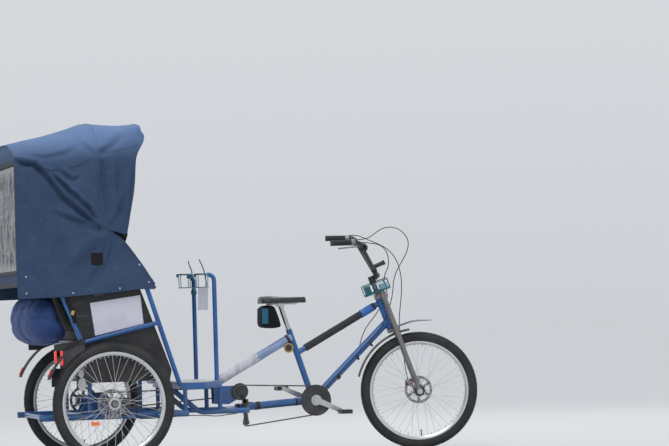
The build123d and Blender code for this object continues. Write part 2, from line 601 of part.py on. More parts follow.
cog_radius = COG_TEETH * CHAIN_PITCH / (2 * math.pi)
UPPER_JOCKEY = (JACKSHAFT_X + 20, JACKSHAFT_Z - 72)
LOWER_JOCKEY = (JACKSHAFT_X + 33, 192.0)
JOCKEY_RADIUS = 20.0
front_circles = [
    (CRANK_X, CRANK_Z, ring_radius, 1),
    (JACKSHAFT_X, JACKSHAFT_Z, cog_radius, 1),
    (*UPPER_JOCKEY, JOCKEY_RADIUS, -1),
    (*LOWER_JOCKEY, JOCKEY_RADIUS, 1),
]
nodes["front_chain"] = chain(front_circles, CHAIN_Y)
drive_radius = DRIVE_COG_TEETH * CHAIN_PITCH / (2 * math.pi)
axle_cog_radius = AXLE_COG_TEETH * CHAIN_PITCH / (2 * math.pi)
nodes["rear_chain"] = chain(
    [(JACKSHAFT_X, JACKSHAFT_Z, drive_radius, 1), (0, WHEEL_RADIUS, axle_cog_radius, 1)], REAR_CHAIN_Y)

# Jackshaft: cassette outboard of the right plate, driving cog between the plates
PLATE_Y = 42.0
jackshaft = disc((JACKSHAFT_X, JACKSHAFT_Z), CHAIN_Y - 18, PLATE_Y + 14, 8)
for i, teeth in enumerate((24, 21, 18, 16, 14, 12)):
    cog_y = CHAIN_Y + 9 - i * 4.5
    radius = teeth * CHAIN_PITCH / (2 * math.pi) - (LINK_HALF + 0.7 if teeth == COG_TEETH else 0)
    jackshaft += disc((JACKSHAFT_X, JACKSHAFT_Z), cog_y - 1, cog_y + 1, radius)
jackshaft += disc((JACKSHAFT_X, JACKSHAFT_Z), CHAIN_Y - 16, CHAIN_Y + 11, 17)
jackshaft += disc((JACKSHAFT_X, JACKSHAFT_Z), REAR_CHAIN_Y - 1.5, REAR_CHAIN_Y + 1.5,
                  drive_radius - LINK_HALF - 0.7)
nodes["jackshaft"] = jackshaft

# Derailleur: knuckle, cage plates and two jockey wheels
derailleur = []
for centre in (UPPER_JOCKEY, LOWER_JOCKEY):
    derailleur.append(disc(centre, CHAIN_Y - 2, CHAIN_Y + 2, JOCKEY_RADIUS - LINK_HALF - 0.7)
                      + disc(centre, CHAIN_Y - 5.5, CHAIN_Y + 5.5, 5))
cage_line = make_hull(
    (Pos(*UPPER_JOCKEY) * Circle(11)).edges() + (Pos(*LOWER_JOCKEY) * Circle(11)).edges())
cage_body = None
for y in (CHAIN_Y - 8, CHAIN_Y + 5.5):
    plate = extrude(Plane(origin=(0, y, 0), x_dir=(1, 0, 0), z_dir=(0, -1, 0)) * cage_line, amount=-2.5)
    cage_body = plate if cage_body is None else cage_body + plate
knuckle = Pos(UPPER_JOCKEY[0] + 2, CHAIN_Y - 19, UPPER_JOCKEY[1] + 14) * Box(34, 22, 30)
hanger = side_plate([(JACKSHAFT_X + 12, JACKSHAFT_Z - 66), (JACKSHAFT_X + 26, JACKSHAFT_Z - 66),
                     (JACKSHAFT_X + 22, JACKSHAFT_Z - 20), (JACKSHAFT_X + 8, JACKSHAFT_Z - 20)],
                    CHAIN_Y - 30, CHAIN_Y - 25)
nodes["derailleur"] = group([*derailleur, *cage_body.solids(), knuckle, hanger])

# Chassis: two long rails, cross tubes, posts to the seat box and footboard, and the axle's bearing blocks
frame_top = DECK_TOP - DECK_THICKNESS - SEAT_GAP
frame_low = frame_top - DECK_FRAME_HEIGHT
FRONT_POST_X = 424.0
chassis = None
for side in (-1, 1):
    rail = rod((RAIL_REAR, side * RAIL_Y, RAIL_Z), (RAIL_FRONT, side * RAIL_Y, RAIL_Z), RAIL_RADIUS)
    chassis = rail if chassis is None else chassis + rail
    for x in (-110, 320):
        chassis += rod((x, side * RAIL_Y, RAIL_Z), (x, side * RAIL_Y, BOX_BOTTOM + BOX_INSET - SEAT_GAP), 12)
    chassis += rod((FRONT_POST_X, side * RAIL_Y, RAIL_Z), (FRONT_POST_X, side * RAIL_Y, frame_low - SEAT_GAP), 12)
CROSS_X = (-350, -120, 130, FRONT_POST_X)
for x in CROSS_X:
    chassis += rod((x, -RAIL_Y, RAIL_Z), (x, RAIL_Y, RAIL_Z), 13)
for side in (-1, 1):
    chassis += side_plate([(-40, RAIL_Z), (40, RAIL_Z), (26, WHEEL_RADIUS + 24), (-26, WHEEL_RADIUS + 24)],
                          side * RAIL_Y - 14, side * RAIL_Y + 14)
    chassis += side_plate([(-128, RAIL_Z - 6), (138, RAIL_Z - 6), (44, WHEEL_RADIUS + 44),
                           (-44, WHEEL_RADIUS + 44)],
                          *sorted((side * (DIFF_HALF + SEAT_GAP), side * (DIFF_HALF + 8))))
chassis -= disc((0, WHEEL_RADIUS), -RAIL_Y - 40, RAIL_Y + 40, AXLE_RADIUS + PIN_GAP)
nodes["chassis_frame"] = chassis

# Differential: a drum with its sprocket, held by two hangers from the cross tubes
differential = disc((0, WHEEL_RADIUS), -DIFF_HALF, DIFF_HALF, 40)
differential += disc((0, WHEEL_RADIUS), REAR_CHAIN_Y - 1.5, REAR_CHAIN_Y + 1.5,
                     axle_cog_radius - LINK_HALF - 0.7)
nodes["differential"] = differential

# Rear brake calipers, ahead of the axle on each disc, each on a plate that stands on its rail
CALIPER_WIDTH = 32.0
calipers = []
for side in (-1, 1):
    disc_y = side * (TRACK / 2 - ROTOR_OFFSET)
    caliper = Pos(74, disc_y, WHEEL_RADIUS + 5) * Box(50, CALIPER_WIDTH, 50)
    caliper -= disc((0, WHEEL_RADIUS), disc_y - 4, disc_y + 4, ROTOR_RADIUS + RUN_GAP)
    low, high = sorted((side * RAIL_Y, disc_y - side * (CALIPER_WIDTH / 2 - 6)))
    plate = side_plate([(52, RAIL_Z), (96, RAIL_Z), (96, WHEEL_RADIUS + 28), (60, WHEEL_RADIUS + 28)], low, high)
    plate -= rod((0, side * RAIL_Y, RAIL_Z), (200, side * RAIL_Y, RAIL_Z), RAIL_RADIUS + SEAT_GAP)
    plate -= disc((0, WHEEL_RADIUS), low - 5, high + 5, 46)
    plate = plate.solids().sort_by(SortBy.VOLUME)[-1]
    calipers.append(caliper + plate)
nodes["rear_calipers"] = group(calipers)

# Drive frame: swept tubes under the footboard, posts, a cross tube and the jackshaft plates
SPINE_POST_X = DECK_FRONT_X - 14
swept = bent_bar([(380, -SPINE_Y, 410.6), (545, -SPINE_Y, SPINE_Z), (832, -SPINE_Y, SPINE_Z)],
                 SPINE_RADIUS, [90])
swept -= Pos(380, -SPINE_Y, frame_low - SEAT_GAP + 50) * Box(120, 60, 100)
swept += rod((SPINE_POST_X, -SPINE_Y, SPINE_Z), (SPINE_POST_X, -SPINE_Y, frame_low - SEAT_GAP), 12.5)
drive = rod((SPINE_CROSS_X, -SPINE_Y, SPINE_Z), (SPINE_CROSS_X, SPINE_Y, SPINE_Z), SPINE_CROSS_RADIUS)
drive += both_sides(swept)
plate_outline = [(DECK_FRONT_X - 18, frame_low - SEAT_GAP), (DECK_FRONT_X - 14, 302), (748, 298), (822, 338),
                 (838, JACKSHAFT_Z), (826, frame_low - SEAT_GAP)]
plates = []
for side in (-1, 1):
    low, high = sorted((side * (PLATE_Y - 5), side * PLATE_Y))
    plate = side_plate(plate_outline, low, high)
    plate -= disc((JACKSHAFT_X, JACKSHAFT_Z), low - 5, high + 5, 8 + PIN_GAP)
    plates.append(plate)
nodes["drive_frame"] = drive
nodes["jackshaft_plates"] = group(plates)

# Footboard: a tapering frame, its deck and two handles
deck_half = RAIL_Y
deck_outline = [(DECK_REAR_X, deck_half), (DECK_SHOULDER_X, deck_half), (DECK_FRONT_X, SPINE_Y),
                (DECK_FRONT_X, -SPINE_Y), (DECK_SHOULDER_X, -deck_half), (DECK_REAR_X, -deck_half)]
outer_face = make_face(Polyline(*[(x, y, frame_low) for x, y in deck_outline], close=True))
inner_face = offset(outer_face, -DECK_FRAME_WIDTH, kind=Kind.INTERSECTION)
footboard = extrude(outer_face - inner_face, amount=DECK_FRAME_HEIGHT, dir=(0, 0, 1))
for x in (450, 520):
    footboard += Pos(x, 0, frame_top - 12) * Box(24, 2 * deck_half - DECK_FRAME_WIDTH, 24)
nodes["footboard_frame"] = footboard
nodes["footboard_deck"] = flat_plate(deck_outline, DECK_TOP - DECK_THICKNESS, DECK_TOP)
HANDLE_Y = 285.0
HANDLE_X = 630.0
HANDLE_RADIUS = 12.5
HANDLE_TOP = 1034.0
HANDLE_BEND = 34.0
handle_points = [(HANDLE_X, HANDLE_Y, DECK_TOP + SEAT_GAP), (HANDLE_X, HANDLE_Y, HANDLE_TOP),
                 (HANDLE_X - HANDLE_BEND - 5, HANDLE_Y, HANDLE_TOP)]
handle = bent_bar(handle_points, HANDLE_RADIUS, [HANDLE_BEND])
nodes["handrails"] = group(both_sides(handle))

# Wire cup holders clamped to the left handle
HOLDER_WIRE = 2.5
HOLDER_Y = HANDLE_Y - 58
HOLDER_LOW = 968.0
HOLDER_HIGH = 1044.0
WIRE_OVERRUN = 1.0
HOLDER_X = (566.0, 668.0)
HOLDER_MIDDLE = 616.0
wires = [
    rod((HOLDER_X[0], HOLDER_Y, HOLDER_LOW), (HOLDER_X[1], HOLDER_Y, HOLDER_LOW), HOLDER_WIRE - 0.3),
    rod((HOLDER_MIDDLE, HOLDER_Y, HOLDER_LOW), (HANDLE_X, HANDLE_Y - HANDLE_RADIUS - 1, HOLDER_LOW - 26),
        HOLDER_WIRE),
    sleeve((HANDLE_X, HANDLE_Y, HOLDER_LOW - 40), (HANDLE_X, HANDLE_Y, HOLDER_LOW - 16), 17,
           HANDLE_RADIUS + SEAT_GAP),
]
for x in HOLDER_X:
    for height, radius in ((HOLDER_HIGH, 42), (HOLDER_LOW, 38)):
        wires.append(Pos(x, HOLDER_Y, height) * Rot(0, 0, 17) * Torus(radius, HOLDER_WIRE))
    for k in range(4):
        a = math.radians(45 + 90 * k)
        low = Vector(x + 38 * math.cos(a), HOLDER_Y + 38 * math.sin(a), HOLDER_LOW)
        high = Vector(x + 42 * math.cos(a), HOLDER_Y + 42 * math.sin(a), HOLDER_HIGH)
        past = (high - low).normalized() * WIRE_OVERRUN
        wires.append(rod(low - past, high + past, HOLDER_WIRE - 0.3))
    wires.append(rod((x - 39, HOLDER_Y, HOLDER_LOW), (x + 39, HOLDER_Y, HOLDER_LOW), HOLDER_WIRE - 0.3))
holder = wires[0] + wires[1:]
nodes["cup_holders"] = holder

# Cab side frames: leaning posts and a rail each side, tied across
REAR_LOW = (-154.0, 676.0)
REAR_HIGH = (-262.0, 946.0)
ARM_FRONT = (286.0, 778.0)
POST_LOW = (DECK_REAR_X - FRAME_RADIUS - SEAT_GAP, 438.0)
POST_HIGH = (205.0, 1000.0)
cab = None
for side in (-1, 1):
    y = side * FRAME_Y
    for (xa, za), (xb, zb) in ((REAR_LOW, REAR_HIGH), (REAR_LOW, ARM_FRONT), (POST_LOW, POST_HIGH)):
        tube = rod((xa, y, za), (xb, y, zb), FRAME_RADIUS)
        cab = tube if cab is None else cab + tube
    cab += Pos(REAR_LOW[0], y, REAR_LOW[1]) * Sphere(FRAME_RADIUS)
cab += rod((REAR_LOW[0], -FRAME_Y, REAR_LOW[1]), (REAR_LOW[0], FRAME_Y, REAR_LOW[1]), FRAME_RADIUS)
cab += rod((POST_LOW[0], -FRAME_Y, POST_LOW[1] - 6), (POST_LOW[0], FRAME_Y, POST_LOW[1] - 6), FRAME_RADIUS)
nodes["cab_frame"] = cab

# Black side panels, seat box and back board
panel_outer = FRAME_Y - FRAME_RADIUS - SEAT_GAP
panel_inner = panel_outer - PANEL_THICKNESS
panel_outline = [(-250, 966), (179, 966), (345, 511), (333, BOX_BOTTOM), (-136, BOX_BOTTOM), (-136, 660),
                 (-138, 692)]
for name, side in (("left", 1), ("right", -1)):
    low, high = sorted((side * panel_inner, side * panel_outer))
    nodes[f"side_panel_{name}"] = side_plate(panel_outline, low, high)
inside = panel_inner - SEAT_GAP
SEAT_REAR = (-128.0, 742.0)
SEAT_FRONT = (238.0, 800.0)
box_outline = [(-128, BOX_BOTTOM + BOX_INSET), (322, BOX_BOTTOM + BOX_INSET), (332, 490), SEAT_FRONT, SEAT_REAR]
box_face = make_face(Polyline(*[(x, -inside, z) for x, z in box_outline], close=True))
box_hole = offset(box_face, -PANEL_THICKNESS, kind=Kind.INTERSECTION)
nodes["seat_box"] = extrude(box_face - box_hole, amount=2 * inside, dir=(0, 1, 0))

seat_line = Vector(SEAT_FRONT[0] - SEAT_REAR[0], 0, SEAT_FRONT[1] - SEAT_REAR[1]).normalized()
seat_up = Vector(-seat_line.Z, 0, seat_line.X)
CUSHION_THICKNESS = 85.0
CUSHION_HALF = inside - 4.0


def tilted_block(start, line, up, length, thickness):
    """The side outline of a slab that lies along a line."""
    a = start
    b = start + line * length
    return [(p.X, p.Z) for p in (a, b, b + up * thickness, a + up * thickness)]


seat_start = Vector(SEAT_REAR[0], 0, SEAT_REAR[1]) + seat_line * 18 + seat_up * SEAT_GAP
seat_outline = tilted_block(seat_start, seat_line, seat_up, 350, CUSHION_THICKNESS)
nodes["seat_cushion"] = side_plate(seat_outline, -CUSHION_HALF, CUSHION_HALF)

BACK_BASE = Vector(-141.0, 0, 750.0)
back_line = Vector(REAR_HIGH[0] - REAR_LOW[0], 0, REAR_HIGH[1] - REAR_LOW[1]).normalized()
back_front = Vector(back_line.Z, 0, -back_line.X)
BACK_LENGTH = 560.0
board_outline = tilted_block(BACK_BASE, back_line, back_front * -1, BACK_LENGTH, PANEL_THICKNESS)
nodes["back_board"] = side_plate(board_outline, -inside, inside)
BACK_CUSHION = 75.0
back_start = BACK_BASE + back_line * 70 + back_front * SEAT_GAP
back_outline = tilted_block(back_start, back_line, back_front, BACK_LENGTH - 80, BACK_CUSHION)
nodes["back_cushion"] = side_plate(back_outline, -CUSHION_HALF, CUSHION_HALF)


def board_back(z):
    """Where the rear face of the back board is at a height."""
    behind = BACK_BASE - back_front * (PANEL_THICKNESS + SEAT_GAP)
    return behind.X + back_line.X / back_line.Z * (z - behind.Z)


# Stuffed bag behind the back board
bag_outline = [(board_back(750), 750), (board_back(950), 950), (-345, 958), (-432, 900), (-453, 800), (-430, 718),
               (-350, 668), (-236, 662), (-200, 690)]
nodes["storage_bag"] = side_plate(bag_outline, 2 - inside, inside - 2)

# Canopy: roof, two sides and a rear wall with a clear window
ROOF_SECTIONS = (
    # x, eave z, shoulder y, shoulder z, crest z
    (CANOPY_REAR_X, 1690.0, CANOPY_HALF - 175, 1752.0, 1788.0),
    (-60.0, 1698.0, CANOPY_HALF - 145, 1852.0, 1908.0),
    (120.0, 1792.0, CANOPY_HALF - 75, 1872.0, 1898.0),
    (213.0, 1832.0, CANOPY_HALF - 50, 1874.0, 1890.0),
)


def roof_section(x, eave, shoulder_y, shoulder_z, crest):
    """One cross-section of the roof cloth: an outer line and an inner one a wall thickness away."""
    inner_half = CANOPY_HALF - CANOPY_WALL
    outer = [
        Line((x, -CANOPY_HALF, eave), (x, -shoulder_y, shoulder_z)),
        ThreePointArc((x, -shoulder_y, shoulder_z), (x, 0, crest), (x, shoulder_y, shoulder_z)),
        Line((x, shoulder_y, shoulder_z), (x, CANOPY_HALF, eave)),
    ]
    drop = CANOPY_WALL
    inner = [
        Line((x, inner_half, eave), (x, shoulder_y - 4, shoulder_z - drop)),
        ThreePointArc((x, shoulder_y - 4, shoulder_z - drop), (x, 0, crest - drop),
                      (x, 4 - shoulder_y, shoulder_z - drop)),
        Line((x, 4 - shoulder_y, shoulder_z - drop), (x, -inner_half, eave)),
    ]
    ends = [Line((x, CANOPY_HALF, eave), (x, inner_half, eave)),
            Line((x, -inner_half, eave), (x, -CANOPY_HALF, eave))]
    return make_face([*outer, ends[0], *inner, ends[1]])


nodes["canopy_roof"] = loft([roof_section(*row) for row in ROOF_SECTIONS], ruled=True)
side_low = [(-492, 931), (-244, 935), (5, 950), (173, 966), (263, 965), (172, 1111), (97, 1217), (84, 1262),
            (106, 1300), (136, 1426), (162, 1563), (180, 1673), (213, 1728)]
side_high = [(x, eave - SEAT_GAP) for x, eave, *_ in reversed(ROOF_SECTIONS)]
for name, side in (("left", 1), ("right", -1)):
    low, high = sorted((side * (CANOPY_HALF - CANOPY_WALL), side * CANOPY_HALF))
    nodes[f"canopy_side_{name}"] = side_plate(side_low + side_high, low, high)

REAR_WALL_LOW = 990.0
WINDOW_LOW = 1120.0
WINDOW_HIGH = 1650.0
WINDOW_HALF = CANOPY_HALF - 50
_, rear_eave, rear_shoulder_y, rear_shoulder_z, rear_crest = ROOF_SECTIONS[0]
wall_half = CANOPY_HALF - CANOPY_WALL - SEAT_GAP
under = CANOPY_WALL + 1.5
rear_points = [(-wall_half, REAR_WALL_LOW), (wall_half, REAR_WALL_LOW), (wall_half, rear_eave - 2),
               (rear_shoulder_y - 6, rear_shoulder_z - under), (0, rear_crest - under - 1),
               (6 - rear_shoulder_y, rear_shoulder_z - under), (-wall_half, rear_eave - 2)]
rear_face = make_face(Polyline(*[(CANOPY_REAR_X, y, z) for y, z in rear_points], close=True))
rear_wall = extrude(rear_face, amount=CANOPY_WALL, dir=(1, 0, 0))
window_mid = (WINDOW_LOW + WINDOW_HIGH) / 2
rear_wall -= Pos(CANOPY_REAR_X, 0, window_mid) * Box(40, 2 * WINDOW_HALF, WINDOW_HIGH - WINDOW_LOW)
nodes["canopy_rear"] = rear_wall
nodes["rear_window"] = Pos(CANOPY_REAR_X + CANOPY_WALL / 2, 0, window_mid) * Box(
    2, 2 * (WINDOW_HALF - SEAT_GAP), WINDOW_HIGH - WINDOW_LOW - 2 * SEAT_GAP)

# Canopy bows, hinged together at the top of each side panel
BOW_RADIUS = 9.0
BOW_PIVOT = (-60.0, 1000.0)
bow_y = CANOPY_HALF - CANOPY_WALL - SEAT_GAP - BOW_RADIUS
px, pz = BOW_PIVOT
BOWS = (
    # x at the top, corner z, half width of the flat top, top z
    (194.0, 1800.0, bow_y - 55, 1855.0),
    (-58.0, 1690.0, bow_y - 142, 1828.0),
    (-478.0, 1662.0, bow_y - 170, 1726.0),
)
bows = None
for top_x, corner_z, top_half, top_z in BOWS:
    bow = bent_bar([(px, -bow_y, pz), (top_x, -bow_y, corner_z), (top_x, -top_half, top_z),
                    (top_x, top_half, top_z),
                    (top_x, bow_y, corner_z), (px, bow_y, pz)], BOW_RADIUS, [30, 60, 60, 30])
    bows = bow if bows is None else bows + bow
for side in (-1, 1):
    low, high = sorted((side * (panel_outer + SEAT_GAP), side * bow_y))
    bows += side_plate([(px - 30, 930), (px + 30, 930), (px + 18, 1012), (px - 18, 1012)], low, high)
nodes["canopy_bows"] = bows

# Rear mudguards, each on a tab from the side frame, lamps and reflectors
REAR_GUARD_GAP = 50.0
REAR_GUARD_RADIUS = WHEEL_RADIUS + REAR_GUARD_GAP
guard_top = WHEEL_RADIUS + 356.0
GUARD_WIDTH = 60.0
guards = []
for side in (-1, 1):
    guard = Pos(0, side * TRACK / 2, WHEEL_RADIUS) * ring_sector(
        Pos(REAR_GUARD_RADIUS + GUARD_THICKNESS / 2, 0) * Rectangle(GUARD_THICKNESS, GUARD_WIDTH), 114, 158)
    inner_y = TRACK / 2 - GUARD_WIDTH / 2
    low, high = sorted((side * (FRAME_Y + 5), side * (inner_y + 4)))
    guard += side_plate([(-168, guard_top), (-168, guard_top - 4), (-142, guard_top - 4), (-142, guard_top)],
                        low, high)
    for x, z in (REAR_HIGH, ARM_FRONT):
        guard -= rod((REAR_LOW[0], side * FRAME_Y, REAR_LOW[1]), (x, side * FRAME_Y, z), FRAME_RADIUS + SEAT_GAP)
    guards.append(guard.solids().sort_by(SortBy.VOLUME)[-1])
nodes["rear_mudguards"] = group(guards)

LAMP_Y = FRAME_Y + FRAME_RADIUS + SEAT_GAP
LAMP_TOP = 636.0
LAMP_LENGTH = 80.0
lamps = []
for side in (-1, 1):
    low, high = sorted((side * LAMP_Y, side * (LAMP_Y + 4)))
    bracket = side_plate([(-312, LAMP_TOP), (-312, 670), (-180, 690), (-140, 690), (-140, 668), (-180, 660),
                          (-250, LAMP_TOP)], low, high)
    lamps.append(bracket)
LAMP_SIZE = 12.0
bars = []
for x in (-305, -270):
    bars.append(Pos(x, -LAMP_Y - 2, LAMP_TOP - SEAT_GAP - LAMP_LENGTH / 2)
                * Box(LAMP_SIZE, LAMP_SIZE, LAMP_LENGTH))
nodes["tail_lamps"] = group(bars)
pods = []
for side in (-1, 1):
    for x, z, a, b in ((-160, 447, 22, 36), (-163, 507, 15, 22)):
        plane = Plane(origin=(x, side * (panel_outer + 4), z), x_dir=(1, 0, 0), z_dir=(0, side, 0))
        pods.append(extrude(plane * Ellipse(a, b), amount=12))
nodes["side_reflectors"] = group(pods)
for side in (-1, 1):
    low, high = sorted((side * (panel_outer + SEAT_GAP), side * (panel_outer + 4 - SEAT_GAP)))
    lamps.append(side_plate([(-188, 420), (-188, 525), (-120, 525), (-120, BOX_BOTTOM + 5), (-150, 420)],
                            low, high))
nodes["lamp_brackets"] = group(lamps)

# Brake and gear cables, held all the way from the levers to what they work
CABLE_RADIUS = 2.5
BESIDE = CABLE_RADIUS + SEAT_GAP


def cable(name, points):
    """A round cable whose arc at each point is as large as its two runs allow."""
    places = [Vector(*p) for p in points]
    radii = []
    for a, b, c in zip(places, places[1:], places[2:]):
        half_turn = math.radians((b - a).get_angle(c - b)) / 2
        radii.append(0.45 * min((b - a).length, (c - b).length) / math.tan(half_turn))
    print(name, "tightest arc", round(min(radii)), "mm")
    path = FilletPolyline(*places, radius=radii)
    return sweep(Plane(origin=path @ 0, z_dir=path % 0) * Circle(CABLE_RADIUS), path=path)


def turned_place(ahead, left, along):
    """A place given from the steering axis, once the handlebar is turned."""
    straight = head_point(ahead, left, along) - HEAD_FOOT
    a = math.radians(STEER_ANGLE)
    return HEAD_FOOT + (straight * math.cos(a) + ALONG.cross(straight) * math.sin(a)
                        + ALONG * ALONG.dot(straight) * (1 - math.cos(a)))


def from_head(place):
    """How far a place is ahead of, left of and along the steering axis."""
    away = Vector(*place) - HEAD_FOOT
    return away.dot(AHEAD), away.Y, away.dot(ALONG)


left_start, left_way = collar_ends[1]
right_start, right_way = collar_ends[-1]
cable_lift = Vector(0, 0, BAR_RADIUS + BESIDE + 0.3)
hose_route = [
    left_start + cable_lift + left_way * SEAT_GAP, left_start + cable_lift + left_way * 48,
    (1608, 236, 1206), (1656, 218, 1186),
    (1706, 210, 1162), (1750, 200, 1126), (1782, 184, 1074), (1798, 162, 1010), (1802, 138, 945),
    (1797, 118, 880), (1788, 102, 815), (1780, 92, 750), (1782, 88, 686), (1791, 88, 625), (1799, 88, 565),
    (1805, 85, 508), (1810, 76, 460), (1815, 62, 432), (1818, 52, 414), (1818, 52, 397.3),
]
nodes["front_brake_hose"] = steered(cable("front brake hose", hose_route))

gear_bar = [
    right_start + cable_lift + right_way * SEAT_GAP, right_start + cable_lift + right_way * 46,
    (1598, -214, 1238), (1636, -164, 1262),
    (1678, -122, 1284), (1728, -90, 1290), (1774, -62, 1276), (1812, -42, 1244), (1834, -28, 1200),
    (1828, -18, 1150), (1806, -14, 1106), (1780, -15, 1062), (1755, -20, 1018), (1742, -28, 970),
    (1738, -34, 922), (1730, -37, 876),
]
down_side = DOWN_TUBE_RADIUS + BESIDE
down_way = (down_tube_start - crank_centre).normalized()


def beside_down_tube(x, left, up):
    """A place on the down tube's skin at a distance along the vehicle, by its offsets left and up."""
    axis = crank_centre + down_way * ((x - crank_centre.X) / down_way.X)
    return axis + Vector(0, left, 0) + Vector(-down_way.Z, 0, down_way.X) * up


boom_way = (crank_centre - LOWER_START).normalized()


def under_boom(x, left):
    """A place on the lower boom's underside at a distance along the vehicle."""
    axis = LOWER_START + boom_way * ((x - LOWER_START.X) / boom_way.X)
    reach = LOWER_BOOM_RADIUS + BESIDE
    return axis + Vector(0, left, -math.sqrt(reach * reach - left * left))


SHELL_CLEAR = SHELL_RADIUS + 6
gear_route = [turned_place(*from_head(p)) for p in gear_bar] + [
    (1710, -36, 822), (1692, -34, 772), (1672, -29, 728), beside_down_tube(1640, -down_side, 0),
    beside_down_tube(1340, -down_side, 0), beside_down_tube(1308, -down_side, -6),
    (1284, -22, CRANK_Z - 8), (1262, -19, CRANK_Z - SHELL_CLEAR), (1226, -17.5, CRANK_Z - SHELL_CLEAR - 1),
    under_boom(1180, -17.5), under_boom(925, -17.5), (905, -32, 261), (896, -54, 262), (892, -76, 276),
    (880, -82, 306), (850.3, -82, 306),
]
beside_bar = right_way.cross(Vector(0, 0, 1)).normalized() * (BAR_RADIUS + BESIDE + 0.3)
brake_bar = [
    right_start + beside_bar + right_way * SEAT_GAP, right_start + beside_bar + right_way * 46,
    (1606, -222, 1204), (1646, -176, 1196),
    (1680, -130, 1176), (1704, -84, 1142), (1716, -44, 1098), (1714, -14, 1052),
]
past_cage = [(88, 4, 706), (66, 14, 675), (58, 20, 636), (56, 25, 598), (49, 31, 560)]
brake_route = [turned_place(*from_head(p)) for p in brake_bar] + [turned_place(*p) for p in past_cage] + [
    (1686, 39, 846), (1668, 39, 812), (1644, 35, 778), (1612, 32, 742), (1582, 31, 704), (1560, 29, 660),
    beside_down_tube(1536, down_side, 4), beside_down_tube(1340, down_side, 0),
    beside_down_tube(1308, down_side, -6), (1284, 22, CRANK_Z - 8), (1262, 19, CRANK_Z - SHELL_CLEAR),
    (1226, 17.5, CRANK_Z - SHELL_CLEAR - 1), under_boom(1180, 17.5), under_boom(850, 17.5),
    (810, 10, 244), (770, -12, 241), (730, -48, 240), (694, -90, 237), (656, -132, 237), (618, -168, 241),
    (576, -202, 246), (528, -240, 249), (476, -276, 251), (424, -310, 252), (372, -344, 250), (318, -376, 248),
    (262, -396, 247.5), (200, -401, 247.5), (166, -408, 248), (146, -424, 258), (140, -445, 280),
    (138, -462, 306), (132, -471, 338), (99.3, -471, 338),
]
nodes["control_cables"] = group([cable("gear cable", gear_route), cable("rear brake cable", brake_route)])

# Move the layout so that the origin is under the middle of the whole vehicle
front_x = nodes["front_tyre"].bounding_box().max.X
middle_x = (front_x + CANOPY_REAR_X) / 2
print("layout middle x", round(middle_x, 3))
os.makedirs("parts", exist_ok=True)
for name, shape in nodes.items():
    export_step(Pos(-middle_x, 0, 0) * shape, f"parts/{name}.step")
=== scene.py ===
import logging
import math
from dataclasses import dataclass, field
from enum import IntEnum
from typing import Any, Callable, Iterable, Mapping, Sequence

import bmesh
import bpy
from mathutils import Matrix, Vector, noise
from mathutils.bvhtree import BVHTree


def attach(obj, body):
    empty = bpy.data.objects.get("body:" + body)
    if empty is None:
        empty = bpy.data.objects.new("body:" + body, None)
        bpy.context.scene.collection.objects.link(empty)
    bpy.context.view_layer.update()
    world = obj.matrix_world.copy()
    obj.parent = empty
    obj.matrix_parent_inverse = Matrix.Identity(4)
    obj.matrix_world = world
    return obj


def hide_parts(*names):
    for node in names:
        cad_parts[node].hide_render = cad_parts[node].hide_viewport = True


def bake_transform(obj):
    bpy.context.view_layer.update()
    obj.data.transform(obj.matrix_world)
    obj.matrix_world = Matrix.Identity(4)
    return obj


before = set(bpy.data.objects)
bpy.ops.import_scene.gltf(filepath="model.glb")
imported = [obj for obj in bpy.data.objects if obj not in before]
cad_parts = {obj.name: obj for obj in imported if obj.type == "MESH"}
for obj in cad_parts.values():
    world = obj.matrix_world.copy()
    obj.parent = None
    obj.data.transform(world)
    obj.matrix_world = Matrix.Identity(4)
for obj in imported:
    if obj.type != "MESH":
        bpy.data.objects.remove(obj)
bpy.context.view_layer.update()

LOG = logging.getLogger("cycle_rickshaw")
Colour = tuple[float, float, float]
Place = tuple[float, float, float]
Flat = tuple[float, float]


# Places

MIDDLE_X = 856.776
"""Where the middle of the vehicle's box is along the source's layout, in millimetres."""
AXLE_HEIGHT = 338.0
WHEELBASE = 1881.0
HALF_TRACK = 525.0
CRANK = (1250, 0, 304)


def at(x: float, y: float, z: float) -> Vector:
    """A place in the source's layout millimetres, as metres of the shared frame."""
    return Vector(((x - MIDDLE_X) / 1000, y / 1000, z / 1000))


class Side(IntEnum):
    """The two sides of the vehicle, each the sign of its y."""

    RIGHT = -1
    LEFT = 1

    def axle(self) -> Matrix:
        """From a wheel about the Y axis at the origin to the rear wheel of this side."""
        return Matrix.Translation(at(0, self * HALF_TRACK, AXLE_HEIGHT))


